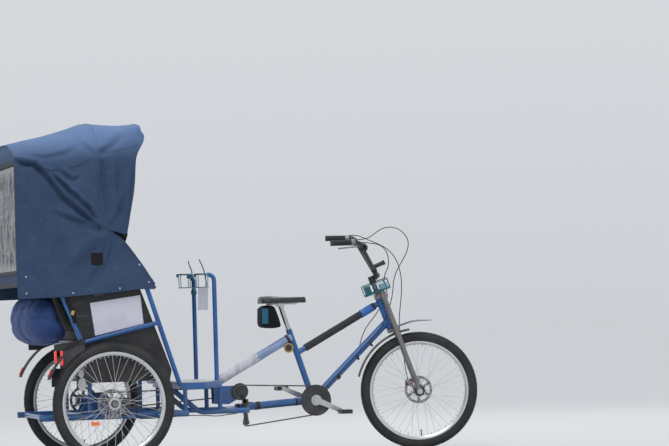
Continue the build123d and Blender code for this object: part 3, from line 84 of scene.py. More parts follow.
class Head:
    """The steering head: places from its axis, once the handlebar is turned."""

    LEAN = math.radians(20.0)
    TURN = math.radians(-12.0)
    AHEAD = Vector((math.cos(LEAN), 0.0, math.sin(LEAN)))
    ALONG = Vector((-math.sin(LEAN), 0.0, math.cos(LEAN)))
    HUB = at(WHEELBASE, 0.0, AXLE_HEIGHT)
    FOOT = HUB - AHEAD * 0.024

    @classmethod
    def turned(cls) -> Matrix:
        """The turn of the steered parts about the head's axis, at rest."""
        there = Matrix.Translation(cls.FOOT)
        return there @ Matrix.Rotation(cls.TURN, 4, cls.ALONG) @ there.inverted()

    @classmethod
    def place(cls, ahead: float, left: float, along: float) -> Vector:
        """A place given in millimetres ahead of, left of and along the axis, turned with the bar."""
        straight = cls.FOOT + (cls.AHEAD * ahead + Vector((0, 1, 0)) * left + cls.ALONG * along) / 1000
        return cls.turned() @ straight

    @classmethod
    def spot(cls, ahead: float, left: float, along: float) -> Matrix:
        """From axes ahead, left and along the head at the origin to a place of the head.

        Args:
            ahead: Millimetres ahead of the axis.
            left: Millimetres to its left.
            along: Millimetres along it.

        Returns:
            The move.
        """
        axes = Matrix((cls.AHEAD, Vector((0, 1, 0)), cls.ALONG)).transposed()
        turn = (cls.turned().to_3x3() @ axes).to_4x4()
        return Matrix.Translation(cls.place(ahead, left, along)) @ turn

    @classmethod
    def wheel(cls) -> Matrix:
        """From a wheel about the Y axis at the origin to the steered front wheel."""
        return cls.turned() @ Matrix.Translation(cls.HUB)


# Shader values


class Wire:
    """A value in a node tree. Python's operators on it add Math nodes."""

    def __init__(self, tree: "Tree", socket: Any) -> None:
        """Wraps an output socket of a tree."""
        self.tree = tree
        self.socket = socket

    def maths(self, operation: str, *values: Any) -> "Wire":
        """A Math node of the given operation on these values."""
        return self.tree.node("ShaderNodeMath", {"operation": operation}, dict(enumerate(values)))

    def __add__(self, other: Any) -> "Wire":
        """The sum."""
        return self.maths("ADD", self, other)

    __radd__ = __add__

    def __sub__(self, other: Any) -> "Wire":
        """The difference."""
        return self.maths("SUBTRACT", self, other)

    def __rsub__(self, other: Any) -> "Wire":
        """The difference from a number."""
        return self.maths("SUBTRACT", other, self)

    def __mul__(self, other: Any) -> "Wire":
        """The product."""
        return self.maths("MULTIPLY", self, other)

    __rmul__ = __mul__

    def above(self, edge: float, width: float) -> "Wire":
        """A soft step from 0 below an edge to 1 above it."""
        return self.tree.node("ShaderNodeMapRange", {"interpolation_type": "SMOOTHSTEP"},
                              {"Value": self, "From Min": edge - width / 2, "From Max": edge + width / 2})


class Tree:
    """The node tree of a new material or world."""

    def __init__(self, owner: Any) -> None:
        """Turns the owner's nodes on and finds its Principled shader, if it has one.

        Args:
            owner: The material or world.
        """
        owner.use_nodes = True
        self.owner = owner
        self.nodes = owner.node_tree.nodes
        self.links = owner.node_tree.links
        self.shader = next((n for n in self.nodes if n.type == "BSDF_PRINCIPLED"), None)

    def node(self, kind: str, settings: Mapping[str, Any], sockets: Mapping[Any, Any], output: Any = 0) -> Wire:
        """Adds a node.

        Args:
            kind: The node's type name.
            settings: Its properties, set first. "stops" gives a colour ramp's places and colours.
            sockets: Values or wires for its inputs, by name or number.
            output: The output that is wanted, by name or number.

        Returns:
            That output.
        """
        made = self.nodes.new(kind)
        for key, value in settings.items():
            if key == "stops":
                ramp = made.color_ramp
                while len(ramp.elements) < len(value):
                    ramp.elements.new(0.5)
                for element, (place, colour) in zip(ramp.elements, value):
                    element.position = place
                    element.color = (*colour, 1)
            else:
                setattr(made, key, value)
        for key, value in sockets.items():
            self.put(made.inputs[key], value)
        return Wire(self, made.outputs[output])

    def put(self, socket: Any, value: Any) -> None:
        """Gives an input socket a value or a link.

        Args:
            socket: The input.
            value: A wire, a number, a vector or a colour of three parts.
        """
        if isinstance(value, Wire):
            self.links.new(value.socket, socket)
        elif isinstance(value, tuple) and len(value) == 3 and socket.type == "RGBA":
            socket.default_value = (*value, 1)
        else:
            socket.default_value = value

    def coordinates(self, stretch: Place = (1, 1, 1), along_cloth: bool = False) -> Wire:
        """Object coordinates, or a cloth's own UV map, stretched per axis."""
        source = self.node("ShaderNodeTexCoord", {}, {}, "UV" if along_cloth else "Object")
        return self.node("ShaderNodeMapping", {}, {"Vector": source, "Scale": stretch})

    def height(self) -> Wire:
        """Height above the ground in metres."""
        return self.node("ShaderNodeSeparateXYZ", {}, {0: self.coordinates()}, 2)

    def noise(self, scale: float, detail: float = 4, where: Wire | None = None, roughness: float = 0.55) -> Wire:
        """Cloudy noise from 0 to 1."""
        sockets = {"Vector": where or self.coordinates(), "Scale": scale, "Detail": detail, "Roughness": roughness}
        return self.node("ShaderNodeTexNoise", {}, sockets, "Fac")

    def cells(self, scale: float, feature: str = "F1") -> Wire:
        """Distance to the nearest cell point or edge."""
        sockets = {"Vector": self.coordinates(), "Scale": scale}
        return self.node("ShaderNodeTexVoronoi", {"feature": feature}, sockets, "Distance")

    def ribs(self, scale: float, direction: str, where: Wire | None = None) -> Wire:
        """Even sine ribs along one axis."""
        sockets = {"Vector": where or self.coordinates(), "Scale": scale}
        return self.node("ShaderNodeTexWave", {"bands_direction": direction, "wave_profile": "SIN"}, sockets, "Fac")

    def mix(self, factor: Any, first: Any, second: Any) -> Wire:
        """A colour between two, by a factor."""
        return self.node("ShaderNodeMix", {"data_type": "RGBA"}, {0: factor, 6: first, 7: second}, 2)

    def bump(self, height: Wire, depth: float, strength: float = 1.0, over: Wire | None = None) -> Wire:
        """A normal bent by a height.

        Args:
            height: The height, in units of the depth.
            depth: That unit in metres.
            strength: How much of the bend is used.
            over: A coarser normal that this one goes on.

        Returns:
            The bent normal.
        """
        sockets: dict[Any, Any] = {"Height": height, "Distance": depth, "Strength": strength}
        if over is not None:
            sockets["Normal"] = over
        return self.node("ShaderNodeBump", {}, sockets)

    def set(self, **sockets: Any) -> Any:
        """Gives the Principled shader its values, by socket name with _ for a space, and returns the owner."""
        for key, value in sockets.items():
            self.put(self.shader.inputs[key.replace("_", " ")], value)
        return self.owner


def shade(colour: Colour, factor: float) -> Colour:
    """A colour made lighter or darker."""
    return tuple(part * factor for part in colour)


# Finishes


@dataclass(frozen=True)
class Finish:
    """What a surface is made of. Each kind builds its own material once."""

    name: str
    colour: Colour

    def material(self) -> bpy.types.Material:
        """The finish's material, made on first use."""
        name = f"{self.name}_finish"
        return bpy.data.materials.get(name) or self.build(Tree(bpy.data.materials.new(name)))

    def build(self, tree: Tree) -> bpy.types.Material:
        """Fills in the material's nodes.

        Args:
            tree: The new material's tree.

        Returns:
            The material.
        """
        raise NotImplementedError


@dataclass(frozen=True)
class Paint(Finish):
    """Gloss or satin paint on steel, with faded patches, scratches and road dust low down."""

    roughness: float = 0.3
    coat: float = 0.35
    chips: float = 0.5
    dust: Colour = (0.16, 0.15, 0.13)

    def build(self, tree: Tree) -> bpy.types.Material:
        """Paint with chips through to primer."""
        cloud = tree.noise(7.0, 5)
        fine = tree.noise(95.0, 3)
        colour = tree.mix(cloud.above(0.5, 0.5), shade(self.colour, 0.78), shade(self.colour, 1.2))
        scratch = tree.noise(24.0, 6, tree.coordinates((1, 1, 7))).above(0.69 - 0.02 * self.chips, 0.05)
        chipped = scratch * fine.above(0.52, 0.12) * self.chips
        colour = tree.mix(chipped, colour, (0.20, 0.20, 0.21))
        low = (1 - tree.height().above(0.34, 0.6)) * tree.noise(16.0, 5).above(0.52, 0.3) * 0.45
        colour = tree.mix(low, colour, self.dust)
        rough = low * 0.4 + chipped * 0.25 + cloud * 0.1 + (self.roughness - 0.05)
        return tree.set(Base_Color=colour, Roughness=rough, Coat_Weight=self.coat, Coat_Roughness=0.12,
                        Normal=tree.bump(fine * 0.5 + scratch * 0.5, 0.00025, 0.35))


@dataclass(frozen=True)
class BareMetal(Finish):
    """Aluminium, steel or brass, brushed or polished, dulled by handling and grime."""

    roughness: float = 0.3
    brushed: float = 0.4
    grime: float = 0.3
    metallic: float = 1.0

    def build(self, tree: Tree) -> bpy.types.Material:
        """Metal with fine brushing and dark grime in clouds."""
        streaks = tree.noise(60.0, 4, tree.coordinates((1, 9, 1)))
        cloud = tree.noise(14.0, 5)
        spots = cloud.above(0.6, 0.22) * self.grime
        colour = tree.mix(streaks, shade(self.colour, 0.86), shade(self.colour, 1.08))
        colour = tree.mix(spots, colour, shade(self.colour, 0.3))
        rough = streaks * 0.14 * self.brushed + spots * 0.35 + self.roughness
        return tree.set(Base_Color=colour, Metallic=self.metallic, Roughness=rough,
                        Normal=tree.bump(streaks, 0.0002, self.brushed))


@dataclass(frozen=True)
class Rubber(Finish):
    """Worn rubber, with pale dust in its clouds."""

    roughness: float = 0.72
    dust: float = 0.35
    grain: float = 260.0

    def build(self, tree: Tree) -> bpy.types.Material:
        """Rubber with a fine grain."""
        dusty = tree.noise(9.0, 6).above(0.52, 0.3) * self.dust
        fine = tree.noise(self.grain, 3)
        colour = tree.mix(dusty, self.colour, (0.125, 0.118, 0.108))
        colour = tree.mix(fine * 0.3, colour, shade(self.colour, 0.55))
        return tree.set(Base_Color=colour, Roughness=dusty * 0.2 + self.roughness,
                        Normal=tree.bump(fine, 0.0004, 0.5))


@dataclass(frozen=True)
class WovenCloth(Finish):
    """Coated woven cloth: plain weave, sun-faded clouds, creases that rub pale, and painted light that makes the roof
    paler towards its top.
    """

    weave: float = 0.0016
    fade: Colour = (0.08, 0.12, 0.22)
    roughness: float = 0.62
    sheen: float = 0.0
    along_cloth: bool = True
    crumple: float = 0.5
    # How strongly painted light pales the cloth towards the top of the roof.
    painted_roof_light: float = 0.0

    def build(self, tree: Tree) -> bpy.types.Material:
        """Two sets of threads crossing, under a coat that creases finely."""
        where = tree.coordinates(along_cloth=self.along_cloth)
        threads = math.pi / (self.weave * 10)
        across = tree.ribs(threads, "X", where)
        along = tree.ribs(threads, "Y", where)
        weave = across * along
        cloud = tree.noise(5.0, 6)
        slub = tree.noise(180.0, 2, tree.coordinates((1, 0.2, 1), self.along_cloth))
        creases = tree.noise(22.0, 7, roughness=0.62)
        colour = tree.mix(cloud.above(0.5, 0.45) * 0.6, self.colour, self.fade)
        # Painted light: the cloth is made paler with height on the roof, standing in for the sky's light falling on
        # its top.
        if self.painted_roof_light:
            high = tree.height().above(1.74, 0.18) * self.painted_roof_light
            colour = tree.mix(high, colour, shade(self.fade, 2.2))
        colour = tree.mix(weave * 0.22 + slub * 0.12, colour, shade(self.colour, 0.55))
        rubbed = creases.above(0.63, 0.1) * 0.22
        colour = tree.mix(rubbed, colour, shade(self.fade, 1.5))
        normal = tree.bump(creases, 0.004, self.crumple)
        return tree.set(Base_Color=colour, Roughness=cloud * 0.12 + self.roughness - 0.06,
                        Sheen_Weight=self.sheen, Sheen_Roughness=0.5, Specular_IOR_Level=0.08,
                        Normal=tree.bump(weave, 0.0004, 0.45, over=normal))


@dataclass(frozen=True)
class GrainedVinyl(Finish):
    """Leathercloth with a pebbled grain and shiny rubbed patches."""

    roughness: float = 0.46
    grain: float = 420.0

    def build(self, tree: Tree) -> bpy.types.Material:
        """Pebbles from cell edges, and wear from slow noise."""
        pebbles = tree.cells(self.grain, feature="DISTANCE_TO_EDGE")
        worn = tree.noise(10.0, 5).above(0.5, 0.35)
        colour = tree.mix(worn * 0.5, self.colour, shade(self.colour, 1.9))
        return tree.set(Base_Color=colour, Roughness=self.roughness - worn * 0.1,
                        Coat_Weight=0.12, Coat_Roughness=0.35,
                        Normal=tree.bump(pebbles, 0.0007, 0.5, over=tree.bump(tree.noise(16.0, 5), 0.004, 0.25)))


@dataclass(frozen=True)
class Board(Finish):
    """Painted board with scuffs, dust and a faint orange peel."""

    roughness: float = 0.5

    def build(self, tree: Tree) -> bpy.types.Material:
        """Dark board with pale scuffs that lie level."""
        scuffs = tree.noise(12.0, 7, tree.coordinates((1, 1, 3.5))).above(0.62, 0.1) * 0.35
        dust = (1 - tree.height().above(0.62, 0.5)) * tree.noise(9.0, 5).above(0.48, 0.35) * 0.4
        colour = tree.mix(scuffs, self.colour, (0.10, 0.10, 0.105))
        colour = tree.mix(dust, colour, (0.13, 0.12, 0.11))
        peel = tree.noise(150.0, 2)
        return tree.set(Base_Color=colour, Roughness=scuffs * 0.3 + dust * 0.3 + self.roughness,
                        Normal=tree.bump(peel, 0.0006, 0.3))


@dataclass(frozen=True)
class ClearSheet(Finish):
    """Clear flexible vinyl, wavy and a little cloudy, with painted glints."""

    alpha: float = 0.3

    def build(self, tree: Tree) -> bpy.types.Material:
        """A see-through sheet whose haze, waves and painted glints come from noise."""
        haze = tree.noise(6.0, 6).above(0.5, 0.4)
        waves = tree.noise(11.0, 5, tree.coordinates((1, 1, 0.45)))
        # Painted highlights: pale patches on the sheet stand in for reflections along its wrinkles.
        painted_glints = tree.noise(26.0, 7, tree.coordinates((1, 1, 0.4))).above(0.62, 0.08) * haze
        colour = tree.mix(haze * 0.5, self.colour, (0.075, 0.100, 0.115))
        colour = tree.mix(painted_glints, colour, (0.36, 0.40, 0.43))
        facing = tree.node("ShaderNodeLayerWeight", {}, {"Blend": 0.5}, "Facing")
        alpha = facing * 0.5 + haze * 0.1 + painted_glints * 0.1 + self.alpha
        return tree.set(Base_Color=colour, Roughness=haze * 0.1 + 0.06, Alpha=alpha, Specular_IOR_Level=0.7,
                        Normal=tree.bump(waves, 0.012, 0.7))


@dataclass(frozen=True)
class Lens(Finish):
    """A coloured or clear lens with moulded ribs. Its glow is lamp light on the tail lamps and painted glow on the
    reflectors.
    """

    glow: float = 0.0
    ribs_per_metre: float = 260.0

    def build(self, tree: Tree) -> bpy.types.Material:
        """A glossy lens with fine prisms."""
        prisms = tree.ribs(self.ribs_per_metre / 10, "Z") + tree.ribs(self.ribs_per_metre / 10, "X")
        cloud = tree.noise(40.0, 3)
        colour = tree.mix(cloud, shade(self.colour, 0.8), shade(self.colour, 1.1))
        return tree.set(Base_Color=colour, Roughness=cloud * 0.08 + 0.1, Coat_Weight=0.6,
                        Emission_Color=colour, Emission_Strength=self.glow,
                        Normal=tree.bump(prisms, 0.0008, 0.5))


@dataclass(frozen=True)
class ChequerPlate(Finish):
    """Rolled aluminium tread plate with raised bars that lie crosswise by turns, and boot scuffs."""

    pitch: float = 0.022

    def build(self, tree: Tree) -> bpy.types.Material:
        """Bars from two crossed waves, with dust between them."""
        scale = math.pi / (self.pitch * 14)
        first, second = (tree.ribs(scale, "DIAGONAL", tree.coordinates((1, way, 0))) for way in (1, -1))
        bars = (first * (1 - second)).above(0.62, 0.2) + (second * (1 - first)).above(0.62, 0.2)
        scuffs = tree.noise(18.0, 6)
        dust = scuffs.above(0.5, 0.4) * (1 - bars * 0.6)
        colour = tree.mix(dust * 0.7, self.colour, (0.25, 0.24, 0.22))
        return tree.set(Base_Color=colour, Metallic=0.85, Roughness=dust * 0.35 + 0.32,
                        Normal=tree.bump(bars, 0.0012, 0.7))


@dataclass(frozen=True)
class Plastic(Finish):
    """Moulded plastic with a fine texture and rubbed clouds."""

    roughness: float = 0.45
    grain: float = 500.0

    def build(self, tree: Tree) -> bpy.types.Material:
        """Plastic whose texture is finer than a millimetre."""
        fine = tree.noise(self.grain, 2)
        rubbed = tree.noise(12.0, 5).above(0.55, 0.25) * 0.4
        colour = tree.mix(rubbed, self.colour, tuple(part + 0.05 for part in self.colour))
        return tree.set(Base_Color=colour, Roughness=rubbed * 0.2 + self.roughness,
                        Normal=tree.bump(fine, 0.0003, 0.35))


@dataclass(frozen=True)
class Card(Finish):
    """A blank weathered card or sheet, with soft stains and a slight buckle."""

    def build(self, tree: Tree) -> bpy.types.Material:
        """Card whose stains follow slow noise."""
        stain = tree.noise(11.0, 6).above(0.6, 0.3) * 0.5
        colour = tree.mix(stain, self.colour, shade(self.colour, 0.78))
        buckle = tree.bump(tree.noise(9.0, 3), 0.006, 0.3)
        return tree.set(Base_Color=colour, Roughness=stain * 0.2 + 0.42,
                        Normal=tree.bump(tree.noise(300.0, 2), 0.0002, 0.3, over=buckle))


@dataclass(frozen=True)
class Foam(Finish):
    """Closed-cell foam with tiny pores and dents."""

    pores: float = 300.0

    def build(self, tree: Tree) -> bpy.types.Material:
        """Foam pores from small cells."""
        holes = tree.cells(self.pores)
        dents = tree.noise(24.0, 5)
        colour = tree.mix(holes, shade(self.colour, 1.5), shade(self.colour, 0.4))
        colour = tree.mix(dents.above(0.62, 0.15) * 0.5, colour, shade(self.colour, 2.4))
        return tree.set(Base_Color=colour, Roughness=dents * 0.1 + 0.8,
                        Normal=tree.bump(holes, 0.0010, 0.5, over=tree.bump(dents, 0.003, 0.3)))


@dataclass(frozen=True)
class WrapTape(Finish):
    """Tape wound on a tube, with ridges where the turns overlap."""

    turns: float = 26.0
    metallic: float = 0.0
    roughness: float = 0.38

    def build(self, tree: Tree) -> bpy.types.Material:
        """Overlapping turns across the tube, and wrinkles."""
        turns = tree.ribs(self.turns, "X")
        wrinkle = tree.noise(55.0, 5)
        colour = tree.mix(turns.above(0.85, 0.2) * 0.5, self.colour, shade(self.colour, 0.62))
        colour = tree.mix(wrinkle.above(0.62, 0.16) * 0.35, colour, shade(self.colour, 0.5))
        return tree.set(Base_Color=colour, Metallic=self.metallic, Roughness=wrinkle * 0.2 + self.roughness,
                        Normal=tree.bump(turns * 0.6 + wrinkle, 0.0012, 0.5))


FRAME_BLUE = Paint("frame_blue_paint", (0.014, 0.100, 0.310))
BOOM_SILVER = Paint("boom_pale_paint", (0.245, 0.345, 0.560), roughness=0.34, chips=0.8)
BLACK_PAINT = Paint("black_paint", (0.016, 0.016, 0.018), roughness=0.36, chips=0.5)
TEAL_WIRE = Paint("teal_coated_wire", (0.018, 0.170, 0.225), roughness=0.34, chips=0.08)
ALLOY = BareMetal("satin_alloy", (0.58, 0.585, 0.60), roughness=0.3)
RIM_ALLOY = BareMetal("rim_alloy", (0.70, 0.705, 0.72), roughness=0.26, grime=0.2)
DARK_STEEL = BareMetal("dark_steel", (0.27, 0.27, 0.28), roughness=0.34)
FORK_GREY = BareMetal("fork_grey_metal", (0.26, 0.245, 0.245), roughness=0.36, grime=0.3)
BRIGHT_STEEL = BareMetal("bright_steel", (0.55, 0.55, 0.56), roughness=0.28)
CHAIN_STEEL = BareMetal("oiled_chain_steel", (0.16, 0.145, 0.13), roughness=0.42, grime=0.6)
BRASS = BareMetal("worn_brass", (0.62, 0.44, 0.16), roughness=0.34)
LEVER_ALLOY = BareMetal("lever_alloy", (0.30, 0.30, 0.32), roughness=0.34)
TYRE_RUBBER = Rubber("tyre_rubber", (0.016, 0.017, 0.018), dust=0.2)
GRIP_RUBBER = Rubber("grip_rubber", (0.018, 0.018, 0.019), dust=0.15)
CABLE_CASING = Rubber("cable_casing", (0.016, 0.016, 0.018), roughness=0.45, dust=0.1)
FOAM_SLEEVE = Foam("sleeve_foam", (0.035, 0.036, 0.042))
# The canopy's roof is painted paler towards its top, standing in for light from above.
CANOPY_CLOTH = WovenCloth("canopy_cloth", (0.042, 0.071, 0.136), fade=(0.062, 0.098, 0.176), painted_roof_light=0.9)
BAG_CLOTH = WovenCloth("bag_nylon", (0.038, 0.072, 0.215), fade=(0.058, 0.104, 0.260), roughness=0.5,
                       sheen=0.03, along_cloth=False, crumple=0.6)
BLACK_WEBBING = WovenCloth("black_webbing", (0.014, 0.014, 0.016), weave=0.0012, fade=(0.022, 0.022, 0.024),
                           sheen=0.1, along_cloth=False)
SADDLE_BAG_CLOTH = WovenCloth("saddle_bag_nylon", (0.014, 0.014, 0.017), weave=0.0011,
                              fade=(0.022, 0.022, 0.026), along_cloth=False)
TEAL_CLOTH = WovenCloth("teal_bag_panel", (0.030, 0.150, 0.230), fade=(0.045, 0.180, 0.260), along_cloth=False)
SEAT_VINYL = GrainedVinyl("seat_vinyl", (0.018, 0.018, 0.020))
SADDLE_COVER = GrainedVinyl("saddle_cover", (0.016, 0.016, 0.017), roughness=0.4)
CLEAR_VINYL = ClearSheet("clear_vinyl", (0.020, 0.030, 0.036), alpha=0.52)
BLACK_BOARD = Board("black_board", (0.011, 0.011, 0.014))
DECK_PLATE = ChequerPlate("deck_plate", (0.62, 0.63, 0.66))
BLACK_PLASTIC = Plastic("black_plastic", (0.016, 0.016, 0.018))
GREY_PLASTIC = Plastic("guard_grey_plastic", (0.075, 0.082, 0.095), roughness=0.34)
WHITE_CARD = Card("blank_white_card", (0.66, 0.66, 0.74))
PALE_TAPE = WrapTape("pale_boom_tape", (0.62, 0.63, 0.68), turns=3.2)
BLACK_TAPE = WrapTape("black_tape", (0.014, 0.014, 0.016), turns=40)
BLUE_TAPE = WrapTape("blue_tape", (0.040, 0.155, 0.530), turns=9)
# The red lens's faint glow is lamp light on the tail lamps and painted glow on the guard reflectors.
RED_LENS = Lens("red_lens", (0.62, 0.012, 0.012), glow=0.25)
LIT_RED = Lens("lit_red_led", (1.0, 0.03, 0.02), glow=2.5)
CLEAR_LENS = Lens("clear_lens", (0.66, 0.66, 0.68))
# The amber lens is a reflector, not a lamp: its glow is painted light.
AMBER_LENS_PAINTED_GLOW = Lens("amber_lens", (0.90, 0.16, 0.02), glow=0.2)
CALIPER_RED = Paint("caliper_red", (0.13, 0.030, 0.026), roughness=0.4)
PALE_BOX = Plastic("pale_blue_box", (0.26, 0.46, 0.56))
TEAL_BOX = Plastic("teal_box", (0.020, 0.150, 0.190))
STITCHING = Plastic("dark_thread", (0.012, 0.020, 0.045), roughness=0.7)


# The bench


class Bench:
    """Blender's modelling tools, used on one piece at a time."""

    @staticmethod
    def clear() -> None:
        """Lets go of every object."""
        if bpy.context.object is not None and bpy.context.object.mode != "OBJECT":
            bpy.ops.object.mode_set(mode="OBJECT")
        bpy.ops.object.select_all(action="DESELECT")

    @classmethod
    def take(cls, *pieces: bpy.types.Object) -> None:
        """Selects pieces.

        Args:
            pieces: The pieces. The first one is made active.
        """
        cls.clear()
        for piece in pieces:
            piece.select_set(True)
        bpy.context.view_layer.objects.active = pieces[0]

    @classmethod
    def named(cls, name: str) -> bpy.types.Object:
        """Names the piece just added and puts its place into its mesh.

        Args:
            name: The name.

        Returns:
            The piece.
        """
        piece = bpy.context.object
        piece.name = name
        piece.data.name = name
        bpy.ops.object.transform_apply(location=True, rotation=True, scale=True)
        return piece

    @classmethod
    def block(cls, name: str, centre: Sequence[float], size: Place, turn: Place = (0, 0, 0)) -> bpy.types.Object:
        """A block.

        Args:
            name: The piece's name.
            centre: Its middle.
            size: Its size in metres.
            turn: Its turn about its middle.

        Returns:
            The block.
        """
        cls.clear()
        bpy.ops.mesh.primitive_cube_add(size=1, location=centre, rotation=turn)
        bpy.context.object.scale = size
        return cls.named(name)

    @classmethod
    def drum(cls, name: str, start: Vector, end: Vector, radius: float, sides: int = 24,
             end_radius: float | None = None) -> bpy.types.Object:
        """A drum or cone.

        Args:
            name: The piece's name.
            start: The middle of one end.
            end: The middle of the other.
            radius: The radius at the start, in metres.
            sides: How many flats go round.
            end_radius: The radius at the end, where it differs.

        Returns:
            The drum.
        """
        cls.clear()
        way = end - start
        turn = way.to_track_quat("Z", "Y").to_euler()
        bpy.ops.mesh.primitive_cone_add(vertices=sides, radius1=radius,
                                        radius2=radius if end_radius is None else end_radius,
                                        depth=way.length, location=(start + end) / 2, rotation=turn)
        return cls.named(name)

    @classmethod
    def shell(cls, name: str, points: Sequence[Any], faces: Sequence[Sequence[int]],
              wall: float = 0.0) -> bpy.types.Object:
        """A piece from its points and faces, for cloth and padding.

        Args:
            name: The piece's name.
            points: The points, in metres.
            faces: Each face, as numbers of points.
            wall: The thickness that the faces get, half to each side.

        Returns:
            The piece.
        """
        mesh = bpy.data.meshes.new(name)
        mesh.from_pydata([tuple(p) for p in points], [], [tuple(f) for f in faces])
        mesh.validate()
        piece = bpy.data.objects.new(name, mesh)
        bpy.context.scene.collection.objects.link(piece)
        return cls.modify(piece, "SOLIDIFY", thickness=wall, offset=0.0) if wall else piece

    @staticmethod
    def quads(rows: int, width: int, around: bool = False, capped: bool = False) -> list[tuple[int, ...]]:
        """The faces of a grid whose points are laid row by row.

        Args:
            rows: How many rows there are.
            width: How many points each row has.
            around: Whether each row closes on its first point.
            capped: Whether the first and the last row get a face.

        Returns:
            Each face, as numbers of points.
        """
        faces = []
        for row in range(0, (rows - 1) * width, width):
            for k in range(width if around else width - 1):
                after = (k + 1) % width
                faces.append((row + k, row + after, row + width + after, row + width + k))
        if capped:
            last = range((rows - 1) * width, rows * width)
            faces += [tuple(range(width))[::-1], tuple(last)]
        return faces

    @classmethod
    def mapped(cls, piece: bpy.types.Object, flat: Sequence[Flat]) -> None:
        """Gives each point of a cloth its place on the flat cut, as the cloth's UV map."""
        layer = piece.data.uv_layers.new(name="cut")
        for loop in piece.data.loops:
            layer.data[loop.index].uv = flat[loop.vertex_index]

    @classmethod
    def modify(cls, piece: bpy.types.Object, kind: str, **settings: Any) -> bpy.types.Object:
        """Adds a modifier, sets it and applies it.

        Args:
            piece: The piece.
            kind: The modifier's type name.
            settings: Its properties.

        Returns:
            The piece.
        """
        cls.take(piece)
        modifier = piece.modifiers.new(kind.title(), kind)
        for key, value in settings.items():
            setattr(modifier, key, value)
        bpy.ops.object.modifier_apply(modifier=modifier.name)
        return piece

    @classmethod
    def bevel(cls, piece: bpy.types.Object, width: float, segments: int = 2) -> bpy.types.Object:
        """Rounds a piece's sharp edges."""
        return cls.modify(piece, "BEVEL", width=width, segments=segments, limit_method="ANGLE",
                          angle_limit=math.radians(35))

    @classmethod
    def inset(cls, piece: bpy.types.Object, test: Callable[[Vector], bool], thickness: float, depth: float,
              slide: float = 0.0) -> bpy.types.Object:
        """Insets some faces of a piece.

        Args:
            piece: The piece.
            test: Whether a face is one of them, by its normal.
            thickness: How far the new edge lies inside the old one, in metres.
            depth: How far the face is raised.
            slide: How far the face then moves along x.

        Returns:
            The piece.
        """
        cls.take(piece)
        bpy.ops.object.mode_set(mode="EDIT")
        bpy.ops.mesh.select_mode(type="FACE")
        mesh = bmesh.from_edit_mesh(piece.data)
        for face in mesh.faces:
            face.select = test(face.normal)
        mesh.select_flush_mode()
        bmesh.update_edit_mesh(piece.data)
        bpy.ops.mesh.inset(thickness=thickness, depth=depth)
        if slide:
            bpy.ops.transform.translate(value=(slide, 0, 0))
        bpy.ops.object.mode_set(mode="OBJECT")
        return piece

    @classmethod
    def whole(cls, piece: bpy.types.Object) -> None:
        """Enters edit mode with all of a piece selected.

        Args:
            piece: The piece.
        """
        cls.take(piece)
        bpy.ops.object.mode_set(mode="EDIT")
        bpy.ops.mesh.select_all(action="SELECT")

    @classmethod
    def lathe(cls, name: str, profile: Sequence[Flat], turns: int, place: Matrix | None = None) -> bpy.types.Object:
        """Spins a closed profile about the Y axis.

        Args:
            name: The piece's name.
            profile: Its radius and y places, in millimetres.
            turns: How many steps go round.
            place: Where the piece is then put.

        Returns:
            The piece.
        """
        cls.clear()
        ring = cls.shell(name, [Vector((r / 1000, y / 1000, 0)) for r, y in profile], [])
        mesh = bmesh.new()
        mesh.from_mesh(ring.data)
        mesh.verts.ensure_lookup_table()
        for k in range(len(profile)):
            mesh.edges.new((mesh.verts[k], mesh.verts[(k + 1) % len(profile)]))
        mesh.to_mesh(ring.data)
        mesh.free()
        cls.whole(ring)
        bpy.ops.mesh.spin(steps=turns, angle=math.tau, center=(0, 0, 0), axis=(0, 1, 0))
        bpy.ops.object.mode_set(mode="OBJECT")
        cls.outward(ring, 0.00005)
        if place is not None:
            ring.data.transform(place)
        return ring

    @classmethod
    def outward(cls, piece: bpy.types.Object, merge: float = 0.00001) -> bpy.types.Object:
        """Merges doubles and turns every face outwards.

        Args:
            piece: The piece.
            merge: How near doubles lie, in metres.

        Returns:
            The piece.
        """
        cls.whole(piece)
        bpy.ops.mesh.remove_doubles(threshold=merge)
        bpy.ops.mesh.normals_make_consistent(inside=False)
        bpy.ops.object.mode_set(mode="OBJECT")
        return piece

    @classmethod
    def join(cls, name: str, pieces: Sequence[bpy.types.Object]) -> bpy.types.Object:
        """Makes one piece of several.

        Args:
            name: Its name.
            pieces: The pieces, which are used up.

        Returns:
            The one piece.
        """
        cls.take(*pieces)
        if len(pieces) > 1:
            bpy.ops.object.join()
        piece = bpy.context.object
        piece.name = name
        return piece

    @classmethod
    def copies(cls, name: str, piece: bpy.types.Object, moves: Iterable[Matrix]) -> bpy.types.Object:
        """Joins copies of a piece, which is used up.

        Args:
            name: The joined piece's name.
            piece: The piece that is copied.
            moves: One turn and move for each copy.

        Returns:
            The joined piece.
        """
        mesh = bmesh.new()
        for move in moves:
            part = piece.data.copy()
            part.transform(move)
            mesh.from_mesh(part)
            bpy.data.meshes.remove(part)
        joined = bpy.data.meshes.new(name)
        mesh.to_mesh(joined)
        mesh.free()
        bpy.data.objects.remove(piece)
        made = bpy.data.objects.new(name, joined)
        bpy.context.scene.collection.objects.link(made)
        return made

    @classmethod
    def dress(cls, piece: bpy.types.Object, finish: Finish, smooth: float) -> None:
        """Gives a piece its finish and smooth shading.

        Args:
            piece: The piece.
            finish: Its finish.
            smooth: The angle in degrees below which edges are shaded smooth.
        """
        piece.data.materials.clear()
        piece.data.materials.append(finish.material())
        cls.take(piece)
        bpy.ops.object.shade_smooth_by_angle(angle=math.radians(smooth))

